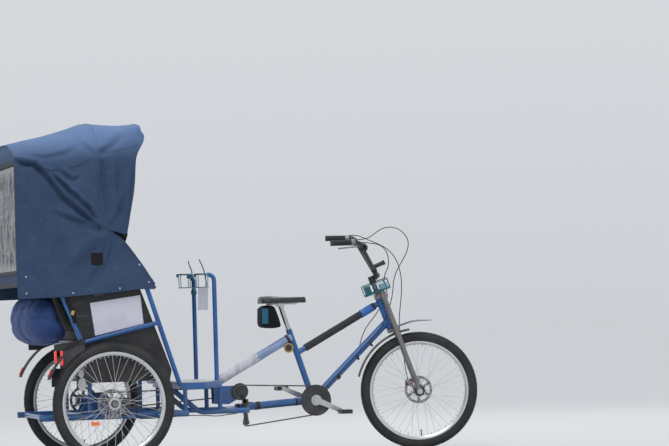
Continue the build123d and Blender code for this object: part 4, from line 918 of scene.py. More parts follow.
    @classmethod
    def line(cls, name: str, points: Sequence[Vector], radius: float, closed: bool = False,
             sides: int = 2) -> bpy.types.Object:
        """A round cord on a smooth curve, as a mesh.

        Args:
            name: The piece's name.
            points: The curve's control points.
            radius: The cord's radius in metres.
            closed: Whether the cord closes on itself.
            sides: How finely it is rounded.

        Returns:
            The cord.
        """
        curve = bpy.data.curves.new(name, "CURVE")
        curve.dimensions = "3D"
        spline = curve.splines.new("NURBS")
        spline.points.add(len(points) - 1)
        for point, place in zip(spline.points, points):
            point.co = (*place, 1)
        spline.order_u = 3
        spline.use_cyclic_u = closed
        spline.use_endpoint_u = not closed
        spline.resolution_u = 6
        curve.bevel_depth = radius
        curve.bevel_resolution = sides
        curve.use_fill_caps = not closed
        piece = bpy.data.objects.new(name, curve)
        bpy.context.scene.collection.objects.link(piece)
        cls.take(piece)
        bpy.ops.object.convert(target="MESH")
        piece = bpy.context.object
        piece.name = name
        return piece


def eased(value: float) -> float:
    """A soft step from 0 to 1."""
    value = min(1.0, max(0.0, value))
    return value * value * (3 - 2 * value)


def through(keys: Sequence[float], values: Sequence[Vector], where: float) -> Vector:
    """A smooth curve through values given at rising keys.

    Args:
        keys: Where each value stands.
        values: The values.
        where: Where the curve is read.

    Returns:
        The value there.
    """
    last = len(keys) - 1
    where = min(max(where, keys[0]), keys[-1])
    i = next(k for k in range(last) if where <= keys[k + 1] or k == last - 1)
    span = keys[i + 1] - keys[i]
    t = (where - keys[i]) / span

    def slope(k: int) -> Vector:
        """The curve's slope at a key."""
        if k == 0:
            return (values[1] - values[0]) / (keys[1] - keys[0])
        if k == last:
            return (values[last] - values[last - 1]) / (keys[last] - keys[last - 1])
        before = (values[k] - values[k - 1]) / (keys[k] - keys[k - 1])
        after = (values[k + 1] - values[k]) / (keys[k + 1] - keys[k])
        a, b = keys[k] - keys[k - 1], keys[k + 1] - keys[k]
        return (before * b + after * a) / (a + b)

    m0, m1 = slope(i) * span, slope(i + 1) * span
    t2, t3 = t * t, t * t * t
    return (values[i] * (2 * t3 - 3 * t2 + 1) + m0 * (t3 - 2 * t2 + t)
            + values[i + 1] * (3 * t2 - 2 * t3) + m1 * (t3 - t2))


def steps(low: float, high: float, count: int) -> list[float]:
    """Evenly spaced numbers, both ends included."""
    return [low + (high - low) * k / (count - 1) for k in range(count)]


def fit(piece: bpy.types.Object, finish: Finish, body: str, slot: str, *nodes: str,
        smooth: float = 35.0) -> bpy.types.Object:
    """Dresses a finished piece and puts it on a body.

    Args:
        piece: The piece.
        finish: Its finish.
        body: The body that it rides on.
        slot: The record's material slot. Not used.
        nodes: The nodes that it stands for.
        smooth: The angle in degrees below which edges are shaded smooth.

    Returns:
        The piece.
    """
    Bench.dress(piece, finish, smooth)
    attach(piece, body)
    if nodes:
        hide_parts(*nodes)
    LOG.info("%s: %d faces", piece.name, len(piece.data.polygons))
    return piece


# Sewing


class Sewing:
    """Hems, seams and stitches laid along a line on cloth."""

    @staticmethod
    def strip(name: str, line: Sequence[Vector], normals: Sequence[Vector], width: float,
              height: float) -> bpy.types.Object:
        """A flat raised band along a line.

        Args:
            name: The band's name.
            line: The points that it follows.
            normals: Which way is out at each of them.
            width: Its width in metres.
            height: How far it stands out.

        Returns:
            The band.
        """
        points: list[Vector] = []
        for i, (p, n) in enumerate(zip(line, normals)):
            way = (line[min(i + 1, len(line) - 1)] - line[max(i - 1, 0)]).normalized()
            across = way.cross(n).normalized() * (width / 2)
            points += [p - across, p - across * 0.8 + n * height, p + across * 0.8 + n * height, p + across]
        faces = Bench.quads(len(line), 4, around=True, capped=True)
        return Bench.outward(Bench.shell(name, points, faces), 1e-7)

    @staticmethod
    def stitches(name: str, line: Sequence[Vector], normals: Sequence[Vector], pitch: float,
                 width: float) -> bpy.types.Object:
        """Short threads along a line.

        Args:
            name: The piece's name.
            line: The points that they follow.
            normals: Which way is out at each of them.
            pitch: How far one thread starts from the next, in metres.
            width: A thread's width.

        Returns:
            The threads, as one piece.
        """
        points: list[Vector] = []
        faces: list[tuple[int, ...]] = []
        reach = [0.0]
        for a, b in zip(line, line[1:]):
            reach.append(reach[-1] + (b - a).length)

        def read(s: float) -> tuple[Vector, Vector]:
            """The place and normal at a distance along the line."""
            i = next((k for k in range(1, len(reach)) if reach[k] >= s), len(reach) - 1)
            t = (s - reach[i - 1]) / max(reach[i] - reach[i - 1], 1e-9)
            return line[i - 1].lerp(line[i], t), normals[i - 1].lerp(normals[i], t).normalized()

        count = int(reach[-1] / pitch)
        for k in range(count):
            p, n = read((k + 0.2) * pitch)
            q, _ = read((k + 0.8) * pitch)
            across = (q - p).cross(n).normalized() * (width / 2)
            lift = n * width * 0.7
            base = len(points)
            middle = (p + q) / 2 + lift
            points += [p - across, p + across, middle - across, middle + across, q - across, q + across]
            faces += [(base, base + 1, base + 3, base + 2), (base + 2, base + 3, base + 5, base + 4),
                      (base, base + 2, base + 4), (base + 1, base + 5, base + 3),
                      (base, base + 4, base + 5, base + 1)]
        return Bench.outward(Bench.shell(name, points, faces), 1e-7)


# Canopy


@dataclass(frozen=True)
class Fold:
    """A crease in the side of the canopy, along a line of layout x and z places.

    Its ridge lies on the line and its valley to the right of the way that the line goes.
    """

    path: tuple[Flat, ...]
    width: float
    lift: float
    tuck: float
    fade: Flat = (0.3, 0.3)

    def lift_at(self, x: float, z: float) -> float:
        """How far the crease moves the cloth outwards.

        Args:
            x: The place's layout x.
            z: Its layout z.

        Returns:
            The move in millimetres.
        """
        best, share, gone = 1e9, 0.0, 0.0
        lengths = [math.dist(a, b) for a, b in zip(self.path, self.path[1:])]
        for (ax, az), (bx, bz), length in zip(self.path, self.path[1:], lengths):
            dx, dz = (bx - ax) / length, (bz - az) / length
            s = min(length, max(0.0, (x - ax) * dx + (z - az) * dz))
            away = math.hypot(x - ax - dx * s, z - az - dz * s)
            if away < abs(best):
                best = math.copysign(away, (x - ax) * dz - (z - az) * dx)
                share = (gone + s) / sum(lengths)
            gone += length
        if abs(best) > 5 * self.width:
            return 0.0
        ends = eased(share / self.fade[0]) * eased((1 - share) / self.fade[1])
        ridge = math.exp(-(best / self.width) ** 2)
        valley = math.exp(-((best - 1.7 * self.width) / (1.1 * self.width)) ** 2)
        return ends * (self.lift * ridge - self.tuck * valley)


FOLDS = (
    Fold(((-510, 1704), (-445, 1683), (-385, 1677), (-310, 1599), (-230, 1488), (-149, 1420), (-68, 1347),
          (-10, 1300)), 13, 13, 25, (0.06, 0.06)),
    Fold(((-336, 1656), (-255, 1583), (-174, 1505), (-93, 1432), (-30, 1330)), 12, 14, 18, (0.3, 0.12)),
    Fold(((-330, 1426), (-260, 1400), (-162, 1360), (-70, 1322), (-20, 1300)), 11, 11, 14, (0.4, 0.12)),
    Fold(((-230, 1345), (-120, 1318), (-22, 1296)), 10, 6, 8, (0.5, 0.1)),
    Fold(((-290, 1060), (-150, 1180), (-28, 1290)), 36, 13, 8, (0.5, 0.15)),
    Fold(((-150, 975), (-60, 1130), (-14, 1280)), 30, 10, 9, (0.4, 0.15)),
    Fold(((-8, 1330), (-22, 1420), (-40, 1560), (-46, 1705)), 15, 6, 13, (0.2, 0.2)),
    Fold(((56, 1300), (48, 1450), (42, 1600), (46, 1690)), 15, 8, 9, (0.3, 0.3)),
    Fold(((100, 1330), (118, 1480), (152, 1650)), 12, 6, 9, (0.3, 0.3)),
    Fold(((-10, 1310), (60, 1420), (140, 1600)), 16, 6, 6, (0.2, 0.4)),
    Fold(((-60, 1722), (10, 1768), (66, 1822), (112, 1868)), 17, 14, 17, (0.2, 0.25)),
    Fold(((-440, 1733), (-330, 1716), (-230, 1736), (-130, 1782)), 15, 7, 10, (0.3, 0.3)),
    Fold(((-250, 1640), (-185, 1588), (-135, 1606)), 11, 7, 11, (0.3, 0.3)),
    Fold(((-400, 1668), (-330, 1632), (-270, 1634)), 10, 5, 7, (0.3, 0.4)),
    Fold(((-120, 1800), (-60, 1745), (-48, 1700)), 14, 7, 8, (0.3, 0.3)),
    Fold(((-470, 1560), (-380, 1430), (-330, 1250)), 40, 5, 6, (0.4, 0.4)),
    Fold(((-480, 1200), (-420, 1120), (-300, 1040)), 40, 6, 4, (0.4, 0.4)),
)

BOWS = tuple(
    (at(-60, y, 1000), at(x, y, corner), at(x, math.copysign(top_half, y), top), at(x, 0, top))
    for x, corner, top_half, top in ((194, 1800, 404.7, 1855), (-58, 1690, 317.7, 1828), (-478, 1662, 289.7, 1726))
    for y in (-459.7, 459.7)
)
"""The middle lines of the hood's bows, as far as the middle of the vehicle."""


def clear_of_bows(p: Vector, reach: float = 0.0118) -> Vector:
    """Pushes a place on the cloth out where a bow lies behind it.

    Args:
        p: The place.
        reach: How far the cloth stays from a bow's middle line, in metres.

    Returns:
        The place, moved if need be.
    """
    outward = Vector((0, p.y, p.z - 1.35)).normalized()
    for bow in BOWS:
        if (bow[0].y > 0) != (p.y > 0):
            continue
        for a, b in zip(bow, bow[1:]):
            way = b - a
            share = min(1.0, max(0.0, (p - a).dot(way) / way.length_squared))
            foot = a + way * share
            away = p - foot
            side = away.dot(outward)
            across = (away - outward * side).length
            if across < reach and side > -0.03:
                rim = math.sqrt(reach ** 2 - across ** 2)
                if side < rim:
                    p = p + outward * (rim - side)
    return p


def cloud(where: Sequence[float]) -> float:
    """Slow noise about zero."""
    return noise.fractal(Vector(where), 0.6, 2.2, 3)


ARC_SEAM = ((-298, 1626), (-250, 1628), (-198, 1637), (-150, 1650), (-114, 1663), (-84, 1682), (-58, 1702))
"""Layout x and z places of the curved seam ahead of the rear bow."""


@dataclass
class Canopy:
    """The cloth hood: one sheet over the bows and down both sides, a rear wall and its clear window."""

    half: float = 475.0
    thickness: float = 0.0022
    rear_columns: int = 70
    front_columns: int = 36
    upper_rows: int = 76
    lower_rows: int = 58
    rows: tuple[float, ...] = (0.0, 0.13, 0.26, 0.38, 0.48, 0.50, 0.60, 0.70)
    lower: tuple[float, ...] = (0.70, 0.85, 1.0)
    columns: tuple[tuple[float, ...], ...] = (
        # x, then y and z at each row from the crest to the main fold, then middle and hem
        (-499, 0, 1788, -190, 1778, -320, 1752, -415, 1722, -462, 1698, -468, 1694, -473, 1690, -477, 1685,
         -476, 1310, -476, 931),
        (-440, 0, 1805, -185, 1796, -318, 1768, -412, 1733, -462, 1702, -468, 1697, -476, 1689, -481, 1680,
         -476, 1305, -476, 932),
        (-381, 0, 1821, -185, 1812, -316, 1784, -408, 1744, -460, 1701, -467, 1694, -478, 1684, -485, 1669,
         -476, 1305, -476, 933),
        (-300, 0, 1841, -185, 1831, -316, 1799, -404, 1751, -456, 1692, -462, 1681, -478, 1640, -488, 1588,
         -477, 1263, -477, 934),
        (-220, 0, 1861, -185, 1850, -318, 1813, -402, 1757, -452, 1680, -459, 1664, -476, 1590, -489, 1490,
         -478, 1214, -478, 937),
        (-140, 0, 1881, -185, 1868, -320, 1826, -406, 1763, -455, 1680, -461, 1660, -475, 1555, -488, 1412,
         -478, 1176, -478, 942),
        (-60, 0, 1902, -188, 1887, -328, 1843, -416, 1778, -466, 1700, -472, 1685, -477, 1515, -485, 1343,
         -478, 1145, -478, 947),
        (-18, 0, 1906, -190, 1892, -334, 1851, -420, 1786, -468, 1707, -474, 1692, -478, 1498, -482, 1308,
         -475, 1129, -478, 950),
    )
    hood: tuple[tuple[Place, ...], ...] = (
        # further columns of the front hood: crest to hem
        ((50, 0, 1903), (50, -195, 1892), (52, -350, 1862), (54, -437, 1812), (56, -474, 1722), (52, -475, 1705),
         (46, -478, 1500), (42, -482, 1288)),
        ((130, 0, 1897), (130, -205, 1889), (131, -370, 1871), (132, -450, 1836), (131, -477, 1740),
         (122, -477, 1716), (102, -480, 1500), (82, -484, 1277)),
        ((186, 0, 1892), (186, -212, 1887), (186, -385, 1875), (184, -458, 1846), (187, -478, 1753),
         (170, -478, 1722), (143, -481, 1510), (98, -485, 1269)),
        ((206, 0, 1886), (206, -214, 1883), (206, -388, 1872), (204, -462, 1840), (206, -478, 1757),
         (184, -478, 1722), (160, -480, 1540), (105, -483, 1266)),
    )
    flap: tuple[tuple[Place, ...], ...] = (
        # further columns of the lower front flap: its front edge, middle and hem
        ((22, -474, 1277), (30, -474, 1114), (38, -478, 954)),
        ((92, -473, 1221), (100, -475, 1088), (110, -478, 962)),
        ((172, -476, 1111), (178, -477, 1040), (185, -479, 967)),
        ((225, -478, 1029), (228, -478, 995), (232, -479, 966)),
        ((262, -479, 973), (262, -479, 969), (263, -479, 964)),
    )
    points: list[Vector] = field(default_factory=list)
    index: dict[tuple[int, int, int], int] = field(default_factory=dict)
    skin: BVHTree | None = None

    def column_points(self) -> list[list[Vector]]:
        """The rear part's control columns, each from crest to hem."""
        return [[Vector((x, y, z)) for y, z in zip(places[::2], places[1::2])] for x, *places in self.columns]

    def sheet_rows(self, controls: list[list[Vector]], keys: Sequence[float], marks: Sequence[float],
                   columns: Sequence[float], rows: Sequence[float]) -> list[list[Vector]]:
        """A fine grid through control columns.

        Args:
            controls: Control points, column by column.
            keys: Where each control column stands, rising.
            marks: Where each control point of a column stands, rising.
            columns: Where the fine columns are wanted.
            rows: Where the fine rows are wanted.

        Returns:
            The grid, column by column.
        """
        grid = []
        for c in columns:
            control = [through(keys, [column[k] for column in controls], c) for k in range(len(marks))]
            grid.append([through(marks, control, r) for r in rows])
        return grid

    def crumpled(self, p: Vector, side: Side) -> Vector:
        """Folds and slackens the cloth at a place.

        Args:
            p: The smooth place in layout millimetres, on the right side.
            side: The side that is meant. The left side's folds fall a little differently.

        Returns:
            The place on the cloth, in metres.
        """
        left = side is Side.LEFT
        rear, bow, front = -499, -59, 211
        roof, roof_band = 1700, 150
        x = p.x + (16 * math.sin(p.z / 90) if left else 0)
        lift = sum(fold.lift_at(x, p.z) for fold in FOLDS) * (0.85 if left else 1.0)
        lift += cloud((p.x / 190, side * 3.7, p.z / 240)) * 7.0
        lift += cloud((p.x / 70, side * 5.1 + p.y / 200, p.z / 90)) * 2.2
        flat = eased((p.z - roof) / roof_band)
        top = eased((-p.y - 60) / 200)
        share = max(0.0, (p.x - rear) / (bow - rear)) if p.x < bow else (p.x - bow) / (front - bow)
        span = math.sin(math.pi * min(1.0, share))
        lift *= 1 - flat * (1 - top)
        lift -= 9.0 * span * flat
        lift += 3.5 * math.sin(p.x / 27 + 0.8 * math.sin(p.y / 90)) * flat * top * span
        lift *= 0.3 + 0.7 * eased((p.x - rear) / 40)
        y = p.y - lift * (1 - flat)
        out = at(p.x, -y if left else y, p.z + lift * flat)
        return clear_of_bows(out) if abs(y) > 250 else out

    def build(self) -> None:
        """Sews the whole hood."""
        self.cloth()
        self.painted_shade_sheets()
        self.rear_wall()
        self.window()

    def key(self, side: Side, column: int, row: int, part: int) -> tuple[int, int, int]:
        """What a point of the cloth is known by; the crest is one for both sides, and only the flap is part 1."""
        return side * (row + 1) if row else 0, column, part if column >= self.rear_columns else 0

    @property
    def ends(self) -> tuple[int, int, int, int]:
        """The rear part's last column, the front's last column, the upper part's last row and the hem's row."""
        last, top = self.rear_columns - 1, self.upper_rows - 1
        return last, last + self.front_columns - 1, top, top + self.lower_rows - 1

    def grids(self) -> list[tuple[int, list[list[Vector]], int, int]]:
        """The smooth cloth of the right side: its rear part, its front hood and the flap below that.

        Returns:
            For each, its first column, its grid, its first row and its part number.
        """
        upper = steps(self.rows[0], self.rows[-1], self.upper_rows)
        below = steps(self.lower[0], self.lower[-1], self.lower_rows)
        ahead = steps(0, 1, self.front_columns)[1:]
        controls = self.column_points()
        keys = [column[0].x for column in controls]
        crease = len(self.rows) - 1
        rear = self.sheet_rows(controls, keys, [*self.rows, *self.lower[1:]],
                               steps(keys[0], keys[-1], self.rear_columns), [*upper, *below[1:]])
        hood = self.sheet_rows([controls[-1][:crease + 1], *([Vector(p) for p in column] for column in self.hood)],
                               [0, 0.3, 0.65, 0.9, 1], self.rows, ahead, upper)
        flap = self.sheet_rows([controls[-1][crease:], *([Vector(p) for p in column] for column in self.flap)],
                               [0, 0.16, 0.42, 0.68, 0.87, 1], self.lower, ahead, below)
        return [(0, rear, 0, 0), (self.rear_columns, hood, 0, 0), (self.rear_columns, flap, self.upper_rows - 1, 1)]

    def cloth_faces(self) -> list[tuple[int, ...]]:
        """The faces between the cloth's numbered points.

        Returns:
            Each face, as numbers of points.
        """
        last, front, top, bottom = self.ends
        faces = []
        for side in Side:
            for columns, rows, part in ((range(last), range(bottom), 0), (range(last, front), range(top), 0),
                                        (range(last, front), range(top, bottom), 1)):
                for c in columns:
                    for r in rows:
                        corners = ((c, r), (c + 1, r), (c + 1, r + 1), (c, r + 1))
                        quad = tuple(self.index[self.key(side, *corner, part)] for corner in corners)
                        faces.append(quad if side is Side.LEFT else quad[::-1])
        return faces

    def cloth(self) -> None:
        """The sheet over roof and sides."""
        flat: list[Flat] = []
        grids = self.grids()
        for side in Side:
            for first, grid, first_row, part in grids:
                for c, column in enumerate(grid, first):
                    for row, p in enumerate(column, first_row):
                        key = self.key(side, c, row, part)
                        if key not in self.index:
                            self.index[key] = len(self.points)
                            self.points.append(self.crumpled(p, side))
                            flat.append(((p.x + 500) / 1000, side * row * 0.0125))
        faces = self.cloth_faces()
        cloth = Bench.shell("canopy_cloth", self.points, faces)
        Bench.mapped(cloth, flat)
        self.skin = BVHTree.FromPolygons(self.points, faces)
        Bench.modify(cloth, "SOLIDIFY", thickness=self.thickness, offset=0.0)
        fit(cloth, CANOPY_CLOTH, "frame", "canopy_cloth", "canopy_roof", "canopy_side_left", "canopy_side_right",
            smooth=60)
        self.sew()

    def seam_lines(self, side: Side) -> dict[str, list[Vector]]:
        """The lines that one side's hems and seams follow.

        Args:
            side: The side.

        Returns:
            Each line's points, by the line's kind.
        """
        last, front, top, bottom = self.ends
        seam = round((self.rows[4] / self.rows[-1]) * top)
        above_hem = bottom - round((bottom - top) * 0.11)
        lines = {}
        for kind, columns, rows, part in (
            ("hem", range(front), [bottom], 1), ("hem_top", range(front - 8), [above_hem], 1),
            ("front_seam", range(last - 2, front), [seam], 0), ("middle_seam", [last - 3], range(top - 2), 0),
            ("flap_edge", range(last, front), [top], 1), ("hood_hem", range(last + 1, front), [top], 0),
            ("front_edge", [front - 2], range(top + 1), 0), ("rear_edge", [0], range(bottom + 1), 0),
        ):
            lines[kind] = [self.points[self.index[self.key(side, c, r, part)]] for c in columns for r in rows]
        lines["arc_seam"] = [self.touch(x, z, side)[0] for x, z in ARC_SEAM]
        return lines

    def sew(self) -> list[bpy.types.Object]:
        """Hems, seams, snaps and the bare patch.

        Returns:
            The pieces.
        """
        bands: list[bpy.types.Object] = []
        threads: list[bpy.types.Object] = []
        band_height, thread_pitch, thread_width = 0.0016, 0.008, 0.0014
        widths = {"hem": 0.012, "front_seam": 0.008, "middle_seam": 0.009, "flap_edge": 0.014, "hood_hem": 0.014,
                  "front_edge": 0.016, "rear_edge": 0.012, "arc_seam": 0.006}
        for side in Side:
            for kind, line in self.seam_lines(side).items():
                name = f"{kind}_{side.name.lower()}"
                normals = []
                for p in line:
                    rise = eased((p.z - 1.70) / 0.16)
                    normals.append((Vector((0, side, 0)) * (1 - rise) + Vector((0, 0, 1)) * rise).normalized())
                lift = self.thickness * 0.5
                if kind in widths:
                    lifted = [p + n * lift for p, n in zip(line, normals)]
                    bands.append(Sewing.strip(f"band_{name}", lifted, normals, widths[kind], band_height))
                    lift += band_height
                raised = [p + n * lift for p, n in zip(line, normals)]
                threads.append(Sewing.stitches(f"thread_{name}", raised, normals, thread_pitch, thread_width))
        band = fit(Bench.join("canopy_bands", bands), CANOPY_CLOTH, "frame", "canopy_cloth", smooth=40)
        thread = fit(Bench.join("canopy_stitching", threads), STITCHING, "frame", "canopy_cloth", smooth=40)
        return [band, thread, self.snaps(), self.patch()]

    def touch(self, x: float, z: float, side: Side) -> tuple[Vector, Vector]:
        """Finds the cloth on one side.

        Args:
            x: The place's layout x.
            z: Its layout z.
            side: The side.

        Returns:
            The cloth's place there and its outward normal.
        """
        outward = Vector((0, side, 0))
        place, normal, _, _ = self.skin.ray_cast(at(x, side * 600, z), -outward)
        if place is None:
            return at(x, side * (self.half + 3), z), outward
        return place, normal if normal.dot(outward) > 0 else -normal

    def snaps(self) -> bpy.types.Object:
        """Press studs that hold the hem and the flap's corner, as one piece."""
        studs = []
        for x, z in ((-457, 1045), (223, 999), (172, 1096), (-457, 955), (-200, 950), (60, 968)):
            for side in Side:
                place, normal = self.touch(x, z, side)
                stud = Bench.drum("stud", place, place + normal * 0.0042, 0.0065, 20, 0.0048)
                studs.append(Bench.bevel(stud, 0.001))
        return fit(Bench.join("canopy_snaps", studs), BRIGHT_STEEL, "frame", "bright_steel")

    def patch(self) -> bpy.types.Object:
        """A bare square of black cloth sewn on the near side, with a raised edge, as one piece."""
        count, middle_x, middle_z, half, rim = 9, -63, 1133, 33, 27
        points = []
        for z in steps(middle_z - half, middle_z + half, count):
            for x in steps(middle_x - half, middle_x + half, count):
                place, normal = self.touch(x, z, Side.RIGHT)
                raised = abs(x - middle_x) > rim or abs(z - middle_z) > rim
                points.append(place + normal * (0.0031 if raised else 0.0024))
        plate = Bench.shell("canopy_patch", points, Bench.quads(count, count))
        Bench.modify(plate, "SOLIDIFY", thickness=0.0022, offset=-1.0)
        return fit(Bench.outward(plate, 1e-6), BLACK_WEBBING, "frame", "black_plastic")

    def painted_shade_sheets(self) -> None:
        """Black sheets inside the corner between hood and flap: painted shade that stands in for the dark of that
        corner.
        """
        pieces = []
        rows, width = 8, 10
        for side in Side:
            points = []
            for r, z in enumerate(steps(1180, 1332, rows)):
                for c, x in enumerate(steps(-34 + 0.1 * r, 118 - 7 * abs(r - 4), width)):
                    points.append(at(x, side * (450 + 4 * math.sin(1.1 * c + 0.6 * r)), z))
            pieces.append(Bench.shell("gusset", points, Bench.quads(rows, width), 0.0015))
        # The sheets' black is painted shade.
        fit(Bench.join("canopy_gussets", pieces), BLACK_WEBBING, "frame", "saddle_bag_cloth", smooth=60)

    def wall_outline(self, z: float) -> float:
        """Half the rear wall's width.

        Args:
            z: The height, in layout millimetres.

        Returns:
            Half the width there.
        """
        edge = [(990, 466), (1300, 470), (1684, 466), (1697, 456), (1722, 412), (1752, 316), (1778, 186), (1786, 60)]
        for (z0, w0), (z1, w1) in zip(edge, edge[1:]):
            if z <= z1:
                return w0 + (w1 - w0) * (z - z0) / (z1 - z0)
        return edge[-1][1]

    def rear_wall(self) -> None:
        """The rear wall: navy round the window, with a black lower edge."""
        across, up = 72, 74
        low, high, edge_top = 990.0, 1784.0, 1012
        opening_half, opening_low, opening_high = 430, 1075, 1664
        zs = steps(low, high, up)
        points, flat = [], []
        for z in zs:
            half = self.wall_outline(z)
            for u in steps(-1, 1, across):
                y = u * half
                bulge = 5.0 * math.cos(u * math.pi / 2) * math.sin(math.pi * (z - low) / (high - low))
                wave = cloud((y / 160, 7.1, z / 260)) * 5
                points.append(at(-496 + bulge + wave * (1 - abs(u) ** 6), y, z))
                flat.append((y / 1000, z / 1000))
        wall: list[tuple[int, ...]] = []
        edge: list[tuple[int, ...]] = []
        for a, b, c, d in Bench.quads(up, across):
            z = (zs[a // across] + zs[a // across + 1]) / 2
            y = 1000 * (points[a].y + points[b].y) / 2
            if abs(y) >= opening_half or not opening_low < z < opening_high:
                (edge if z < edge_top else wall).append((a, d, c, b))
        for name, faces, finish, slot, nodes in (
            ("canopy_rear_wall", wall, CANOPY_CLOTH, "canopy_cloth", ("canopy_rear",)),
            ("canopy_rear_edge", edge, BLACK_WEBBING, "saddle_bag_cloth", ()),
        ):
            used = sorted({v for face in faces for v in face})
            renumber = {v: k for k, v in enumerate(used)}
            piece = Bench.shell(name, [points[v] for v in used], [[renumber[v] for v in face] for face in faces])
            Bench.mapped(piece, [flat[v] for v in used])
            Bench.modify(piece, "SOLIDIFY", thickness=self.thickness, offset=0.0)
            fit(piece, finish, "frame", slot, *nodes, smooth=60)
        self.binding()

    def binding(self) -> bpy.types.Object:
        """Black binding round the window, as one piece."""
        corners = [(-434, 1070), (434, 1070), (434, 1668), (-434, 1668)]
        line = []
        for (ya, za), (yb, zb) in zip(corners, corners[1:] + corners[:1]):
            line += [at(-499.2, ya + (yb - ya) * t, za + (zb - za) * t) for t in steps(0, 0.96, 18)]
        line.append(line[0])
        strip = Sewing.strip("window_binding", line, [Vector((-1, 0, 0))] * len(line), 0.022, 0.0018)
        return fit(strip, BLACK_WEBBING, "frame", "saddle_bag_cloth", smooth=40)

    def window(self) -> None:
        """The clear vinyl sheet, buckled between its bound edges."""
        across, up = 66, 48
        half, low, high = 440, 1066, 1672
        points = []
        for z in steps(low, high, up):
            for y in steps(-half, half, across):
                rim = eased(min(half - abs(y), z - low, high - z) / 90)
                buckle = noise.fractal(Vector((y / 95, 1.3, z / 190)), 0.55, 2.3, 4) * 9
                pull = 4.0 * math.sin(y / 38 + z / 70) * eased(abs(y) / half)
                points.append(at(-493 + (buckle + pull) * rim, y, z))
        faces = [(a, d, c, b) for a, b, c, d in Bench.quads(up, across)]
        sheet = Bench.shell("clear_window", points, faces, 0.0008)
        fit(sheet, CLEAR_VINYL, "frame", "clear_vinyl", "rear_window", smooth=60)


# Padding


class Padding:
    """Stuffs cushions: a closed form is swollen by a cloth simulation and then sewn in."""

    @staticmethod
    def swell(piece: bpy.types.Object, voxel: float, cap: float, pressure: float = 4.0) -> None:
        """Remeshes a closed form and swells it with Blender's cloth, moving no point further than a cap.

        Args:
            piece: The closed form, a little smaller than the finished pad.
            voxel: The remesh size in metres.
            cap: The furthest that a point may move, in metres.
            pressure: The air pressure inside.
        """
        Bench.modify(piece, "REMESH", mode="VOXEL", voxel_size=voxel)
        start = [v.co.copy() for v in piece.data.vertices]
        frames = 20
        Bench.take(piece)
        cloth = piece.modifiers.new("Cloth", "CLOTH")
        for key, value in {"quality": 4, "mass": 0.3, "tension_stiffness": 12, "compression_stiffness": 12,
                           "bending_stiffness": 0.6, "use_pressure": True,
                           "uniform_pressure_force": pressure}.items():
            setattr(cloth.settings, key, value)
        cloth.settings.effector_weights.gravity = 0
        cloth.point_cache.frame_start = 1
        cloth.point_cache.frame_end = frames
        scene = bpy.context.scene
        for step in range(1, frames + 1):
            scene.frame_set(step)
        evaluated = piece.evaluated_get(bpy.context.evaluated_depsgraph_get())
        swollen = [v.co.copy() for v in evaluated.data.vertices]
        piece.modifiers.remove(cloth)
        for vertex, before, after in zip(piece.data.vertices, start, swollen):
            move = after - before
            if move.length > cap:
                move *= cap / move.length
            vertex.co = before + move
        scene.frame_set(1)

    @staticmethod
    def press(piece: bpy.types.Object, where: Callable[[Vector], Vector]) -> None:
        """Moves each point of a pad by a function of its place."""
        for vertex in piece.data.vertices:
            vertex.co = vertex.co + where(vertex.co)
        piece.data.update()

    @staticmethod
    def crumple(piece: bpy.types.Object, depth: float, scale: Place, seed: float) -> None:
        """Sinks sharp creases between full folds, along a stuffed form's own normals.

        Args:
            piece: The form.
            depth: The deepest crease in metres.
            scale: Folds per metre along each axis; they run slantwise.
            seed: Which of the many patterns.
        """
        moved = []
        for vertex in piece.data.vertices:
            p = vertex.co
            q = Vector(((p.x + 0.5 * p.z) * scale[0], (p.y + 0.35 * p.z) * scale[1] + seed,
                        (p.z - 0.3 * p.x) * scale[2]))
            crease = 1 - abs(noise.fractal(q, 0.7, 2.0, 2)) * 3.2
            moved.append(vertex.co - vertex.normal * (depth * max(0.0, crease) ** 2))
        for vertex, place in zip(piece.data.vertices, moved):
            vertex.co = place
        piece.data.update()


@dataclass(frozen=True)
class SlabFrame:
    """A leaning slab's own axes: along its length, across the vehicle and up from its back."""

    start: Vector
    line: Vector
    up: Vector

    def place(self, along: float, across: float, height: float) -> Vector:
        """A place in the slab's own millimetres, as metres of the shared frame."""
        p = self.start + self.line * along + self.up * height
        return at(p.x, across, p.z)

    def own(self, p: Vector) -> Place:
        """A place of the shared frame in the slab's own millimetres."""
        q = Vector((p.x * 1000 + MIDDLE_X, 0, p.z * 1000)) - Vector((self.start.x, 0, self.start.z))
        return q.dot(self.line), p.y * 1000, q.dot(self.up)


